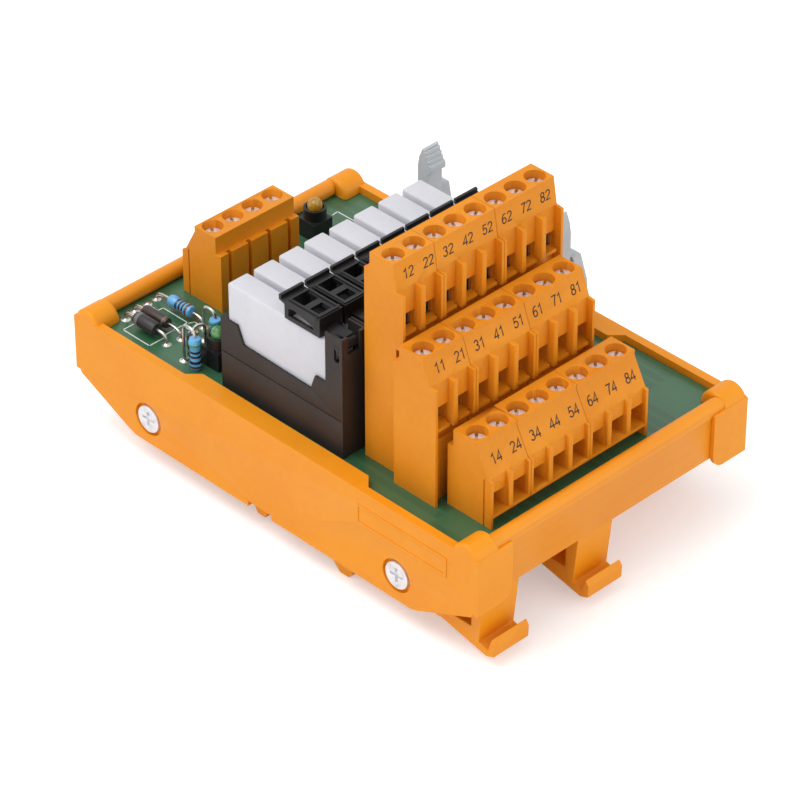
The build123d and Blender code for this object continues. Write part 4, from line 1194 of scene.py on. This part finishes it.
@dataclass
class Board:
    """The circuit board with its printing, pads and small parts."""

    top: float = 18.6
    bottom: float = 17.0
    lead_radius: float = 0.3
    lead_reach: float = 1.3
    lens_seat: float = 2.0
    lens_shoulder: float = 4.7
    lens_radius: float = 1.5
    lens_foot: float = 1.7
    holder_edge: EdgeBreak = EdgeBreak(0.15, 2)
    print_width: float = 0.22
    print_height: float = 0.03
    flat: tuple[Axial, ...] = (
        Axial("resistor_flat", -19.6, (37.7, 43.8), (34.6, 47.9), 1.25, 1.05, 1.9,
              Lacquer("resistor_flat_lacquer", "resistor_blue", BLUE, Axis.Y, (
                  (38.6, 0.6, BROWN), (39.6, 0.6, BLACK), (40.5, 0.55, BLACK), (41.4, 0.6, NAVY))),
              LEAD_TIN),
        Axial("diode_small", -25.2, (38.2, 44.9), (34.7, 47.7), 1.15, 1.15, 1.8,
              Lacquer("diode_small_resin", "diode_dark", srgb("33251F"), Axis.Y,
                      ((39.0, 0.5, srgb("6B5A52")),), roughness=0.4, coat=0.1), DIODE_LEAD_TIN),
        Axial("diode_large", -28.3, (37.9, 43.8), (35.4, 46.9), 1.38, 1.38, 2.1,
              Lacquer("diode_large_resin", "diode_dark", srgb("1F1C1C"), Axis.Y,
                      ((42.7, 0.8, srgb("6A6A6E")),), roughness=0.42, coat=0.1), DIODE_LEAD_TIN),
    )
    standing: tuple[Standing, ...] = (
        Standing("resistor_front", (-29.6, 25.8), (-29.4, 29.2), 1.25, 1.05, 6.8,
                 Lacquer("resistor_front_lacquer", "resistor_blue", BLUE, Axis.Z, (
                     (24.3, 0.5, GREEN), (22.7, 0.5, BLACK), (21.7, 0.5, BLACK), (20.5, 0.5, BLACK),
                     (19.5, 0.5, BROWN))), LEAD_TIN),
        Standing("resistor_rear", (-22.3, 28.2), (-22.3, 31.4), 1.25, 1.05, 6.4,
                 Lacquer("resistor_rear_lacquer", "resistor_blue", BLUE, Axis.Z, (
                     (24.4, 0.5, GREEN), (23.0, 0.5, BLACK), (22.0, 0.5, BLACK),
                     (21.0, 0.5, BROWN))), LEAD_TIN),
        Standing("diode_upright", (-27.5, 28.8), (-24.9, 28.2), 1.1, 1.1, 5.2,
                 Lacquer("diode_upright_resin", "diode_dark", srgb("1F1D1D"), Axis.Z,
                         ((20.6, 0.6, GREY),), coat=0.1), DIODE_LEAD_TIN),
    )
    lamps: tuple[tuple[str, Pair, Finish], ...] = (
        ("yellow", (17.3, 42.8), YELLOW_LENS),
        ("green", (-25.2, 24.1), GREEN_LENS),
    )
    lines: tuple[tuple[Pair, ...], ...] = (
        ((-30.9, 37.3), (-30.9, 44.7), (-25.9, 44.7)),
        ((-30.9, 37.3), (-26.9, 37.3)),
        ((-23.6, 37.9), (-26.4, 37.9)),
        ((-22.0, 47.3), (-22.0, 44.8)),
        ((-23.3, 44.8), (-20.7, 44.8), (-20.7, 37.9), (-23.3, 37.9), (-23.3, 44.8)),
        ((-22.0, 37.9), (-22.0, 35.4)),
        ((-20.7, 37.6), (-19.6, 37.2), (-19.6, 35.4)),
        ((24.3, 45.2), (25.8, 45.4), (25.8, 37.0)),
    )
    spare_pads: tuple[Pair, ...] = ((-22.0, 47.8), (-22.0, 34.9))

    @staticmethod
    def body_profile(radius: float, waist: float, low: float, high: float) -> list[Pair]:
        """The outline of a moulded or dipped body, from one end to the other.

        Args:
            radius: Radius at the ends.
            waist: Radius at the middle.
            low: Where the body starts on its axis.
            high: Where it ends.

        Returns:
            Radius and distance pairs.
        """
        cap = min(1.5, (high - low) * 0.25)
        rise = 0.45 * cap
        start = [(0.0, low), (0.55 * radius, low), (0.86 * radius, low + 0.2 * rise),
                 (radius, low + rise)]
        if waist < radius:
            start += [(radius, low + cap), (waist, low + cap + 0.5)]
        ends = [(r, high + low - z) for r, z in reversed(start)]
        return start + ends

    @staticmethod
    def arc(start: Vector, corner: Vector, end: Vector, steps: int = 8) -> list[Triple]:
        """Points of a smooth bend from one point to another round a corner.

        Args:
            start: Where the bend starts.
            corner: The corner that it rounds.
            end: Where it ends.
            steps: How many pieces it has.

        Returns:
            The points in order.
        """
        points = []
        for step in range(steps + 1):
            t = step / steps
            points.append(tuple((1 - t) ** 2 * start + 2 * t * (1 - t) * corner + t * t * end))
        return points

    def flat_part(self, part: Axial) -> None:
        """Make one part that lies along Y, with both leads bent down to its pads.

        Args:
            part: The part's sizes and finishes.
        """
        level = self.top + part.axis_height
        build = lathe(self.body_profile(part.radius, part.waist, *part.body), 28)
        place = Matrix.Translation((part.x * MM, 0, level * MM))
        build.transform(place @ Matrix.Rotation(-math.pi / 2, 4, "X"))
        shell = from_bmesh("shell", build, 60)
        shell.data.materials.append(part.finish.material())
        pieces = [shell]
        for inner, outer in zip(part.body, part.pads):
            side = 1 if outer > inner else -1
            corner = Vector((part.x, outer, level + 0.15))
            start = Vector((part.x, inner + side * 0.4, level))
            low = Vector((part.x, outer, level - 1.5))
            path = [(part.x, inner - side * 0.5, level)] + self.arc(start, corner, low)
            path.append((part.x, outer, self.bottom - self.lead_reach))
            wire = tube("wire", path, self.lead_radius)
            wire.data.materials.append(part.leads.material())
            pieces.append(wire)
        settle(join(f"{part.name}_leaded", pieces), part.finish, ROOT, [part.name])

    def standing_part(self, part: Standing) -> None:
        """Make one part that stands up, with its top lead bent over to the pad beside it.

        Args:
            part: The part's sizes and finishes.
        """
        low = self.top + 0.15
        high = low + part.length
        build = lathe(self.body_profile(part.radius, part.waist, low, high), 28)
        build.transform(Matrix.Translation((part.foot[0] * MM, part.foot[1] * MM, 0)))
        shell = from_bmesh("shell", build, 60)
        shell.data.materials.append(part.finish.material())
        foot = Vector((*part.foot, high))
        pad = Vector((*part.pad, high))
        middle = (foot + pad) / 2 + Vector((0, 0, 1.55))
        up = [(*part.foot, high - 0.5)]
        bend = self.arc(foot, Vector((*part.foot, middle.z)), middle)
        bend += self.arc(middle, Vector((*part.pad, middle.z)), pad)[1:]
        end = self.bottom - self.lead_reach
        wire = tube("wire", up + bend + [(*part.pad, end)], self.lead_radius)
        stub = tube("stub", [(*part.foot, low + 0.3), (*part.foot, end)], self.lead_radius)
        for lead in (wire, stub):
            lead.data.materials.append(part.leads.material())
        settle(join(f"{part.name}_leaded", [shell, wire, stub]), part.finish, ROOT, [part.name])

    def lamp(self, name: str, spot: Pair, finish: Finish) -> None:
        """Make one indicator: a domed lens in a round cup on a square foot.

        Args:
            name: Its colour's name, as in the CAD nodes.
            spot: Where it stands on the board.
            finish: The lens's finish.
        """
        seat = self.top + self.lens_seat
        shoulder = seat + self.lens_shoulder
        radius, foot = self.lens_radius, self.lens_foot
        dome = [(radius * math.cos(a), shoulder + radius * math.sin(a))
                for a in [math.radians(9 * step) for step in range(10)]]
        profile = [(0.0, seat), (foot, seat), (foot, seat + 0.8), (radius, seat + 0.9), *dome,
                   (0.0, shoulder + radius)]
        build = lathe(profile, 40)
        build.transform(Matrix.Translation((spot[0] * MM, spot[1] * MM, 0)))
        settle(from_bmesh(f"led_{name}_domed", build), finish, ROOT, [f"led_{name}"])
        holder = f"holder_{name}"
        settle(self.holder_edge.copy_of(holder, f"{holder}_moulded"), CLIP_PLASTIC, ROOT, [holder])

    def printing(self) -> None:
        """Lay the white outlines on the board."""
        build = bmesh.new()
        half = self.print_width / 2
        for line in self.lines:
            for start, end in zip(line, line[1:]):
                a, b = Vector(start), Vector(end)
                along = (b - a).normalized() * half
                side = Vector((-along.y, along.x))
                corners = [a - along - side, b + along - side, b + along + side, a - along + side]
                low = [build.verts.new((p.x * MM, p.y * MM, self.top * MM)) for p in corners]
                high = [build.verts.new((p.x * MM, p.y * MM, (self.top + self.print_height) * MM))
                        for p in corners]
                build.faces.new(high)
                build.faces.new(list(reversed(low)))
                for n in range(4):
                    build.faces.new((low[n], low[(n + 1) % 4], high[(n + 1) % 4], high[n]))
        settle(from_bmesh("board_outlines", build), BOARD_INK, ROOT)

    def pads(self, repeat: Repeat) -> None:
        """Set a soldered ring round every lead of the small parts.

        Args:
            repeat: The tree that sets them.
        """
        spots = [(part.x, pad, self.top) for part in self.flat for pad in part.pads]
        spots += [(*spot, self.top) for part in self.standing for spot in (part.pad, part.foot)]
        spots += [(*spot, self.top) for spot in self.spare_pads]
        ring = from_bmesh("pad_pattern", lathe([
            (0.0, 0.0), (0.95, 0.0), (0.95, 0.03), (0.85, 0.05), (0.6, 0.1), (0.42, 0.2),
            (0.3, 0.34), (0.0, 0.34)], 24), 50)
        settle(repeat.run("solder_pads", ring, spots, PAD_TIN), PAD_TIN, ROOT)

    def build(self, repeat: Repeat) -> None:
        """Dress the board and make everything that stands on it.

        Args:
            repeat: The tree that sets the soldered pads.
        """
        dress(["circuit_board"], BOARD_MASK)
        for part in self.flat:
            self.flat_part(part)
        for part in self.standing:
            self.standing_part(part)
        for name, spot, finish in self.lamps:
            self.lamp(name, spot, finish)
        self.printing()
        self.pads(repeat)


# Studio

@dataclass
class Camera:
    """The photograph's viewpoint, in millimetres and degrees."""

    place: Triple = (-461.278, -468.335, 486.725)
    azimuth: float = -44.46
    elevation: float = 35.974
    roll: float = -0.091
    lens: float = 194.62

    def build(self) -> None:
        """Put the camera in the scene and make it the active one."""
        a, e, r = (math.radians(v) for v in (self.azimuth, self.elevation, self.roll))
        back = Vector((math.sin(a) * math.cos(e), -math.cos(a) * math.cos(e), math.sin(e)))
        level = Vector((math.cos(a), math.sin(a), 0.0))
        upright = back.cross(level)
        right = level * math.cos(r) + upright * math.sin(r)
        up = back.cross(right)
        data = bpy.data.cameras.new("camera")
        data.lens = self.lens
        data.sensor_width = 36.0
        data.clip_start = 0.01
        data.clip_end = 20.0
        holder = bpy.data.objects.new("camera", data)
        bpy.context.scene.collection.objects.link(holder)
        turn = Matrix((right, up, back)).transposed().to_4x4()
        holder.matrix_world = Matrix.Translation(Vector(self.place) * MM) @ turn
        bpy.context.scene.camera = holder


@dataclass(frozen=True)
class Lamp:
    """A square soft light that shines at the object."""

    name: str
    place: Triple
    size: float
    power: float


@dataclass
class Studio:
    """Floor, world, lights and camera."""

    floor_z: float = -4.4
    floor_half: float = 6000.0
    world: float = 0.62
    target: Triple = (0.0, 0.0, 20.0)
    lamps: tuple[Lamp, ...] = (
        Lamp("key", (-350.0, 260.0, 900.0), 0.7, 5.2),
        Lamp("front", (250.0, -900.0, 420.0), 0.9, 3.0),
        Lamp("side", (-900.0, -150.0, 300.0), 0.8, 1.35),
    )
    camera: Camera = field(default_factory=Camera)

    def floor(self) -> None:
        """Lay the floor."""
        build = bmesh.new()
        bmesh.ops.create_grid(build, x_segments=1, y_segments=1, size=self.floor_half * MM)
        bmesh.ops.translate(build, verts=build.verts, vec=(0, 0, self.floor_z * MM))
        made = from_bmesh("studio_floor", build)
        made.data.materials.append(WHITE_FLOOR.material())

    def sky(self) -> None:
        """Light the scene evenly and show a white background to the camera and to gloss."""
        world = bpy.data.worlds.new("studio")
        world.use_nodes = True
        bpy.context.scene.world = world
        desk = Desk(world.node_tree)
        desk.tree.nodes.clear()
        rays = desk.add("ShaderNodeLightPath")
        seen = desk.out(rays, "Is Camera Ray")
        for kind in ("Is Glossy Ray", "Is Transmission Ray"):
            seen = desk.maths("MAXIMUM", seen, desk.out(rays, kind))
        strength = seen * (1.0 - self.world) + self.world
        sky = desk.add("ShaderNodeBackground", None,
                       {"Color": (1.0, 1.0, 1.0), "Strength": strength})
        desk.add("ShaderNodeOutputWorld", None, {"Surface": desk.out(sky)})

    def light(self, lamp: Lamp) -> None:
        """Hang one lamp and aim it at the middle of the object.

        Args:
            lamp: Its place, size and power.
        """
        data = bpy.data.lights.new(lamp.name, "AREA")
        data.size = lamp.size
        data.energy = lamp.power
        holder = bpy.data.objects.new(lamp.name, data)
        place = Vector(lamp.place) * MM
        holder.location = place
        holder.rotation_mode = "QUATERNION"
        aim = Vector(self.target) * MM - place
        holder.rotation_quaternion = aim.to_track_quat("-Z", "Y")
        bpy.context.scene.collection.objects.link(holder)

    def build(self) -> None:
        """Set up the studio."""
        bpy.context.scene.view_settings.view_transform = "Standard"
        self.floor()
        self.sky()
        for lamp in self.lamps:
            self.light(lamp)
        self.camera.build()


def main() -> None:
    """Build the module's sub-assemblies in order, then the studio."""
    logging.basicConfig(level=logging.INFO, format="%(name)s: %(message)s")
    repeat = Repeat()
    row = RowTree()
    Carrier().build()
    TerminalBank().build(repeat)
    RelayBank().build(row)
    CableHeader().build()
    Board().build(repeat)
    Studio().build()


if __name__ == "__main__":
    main()
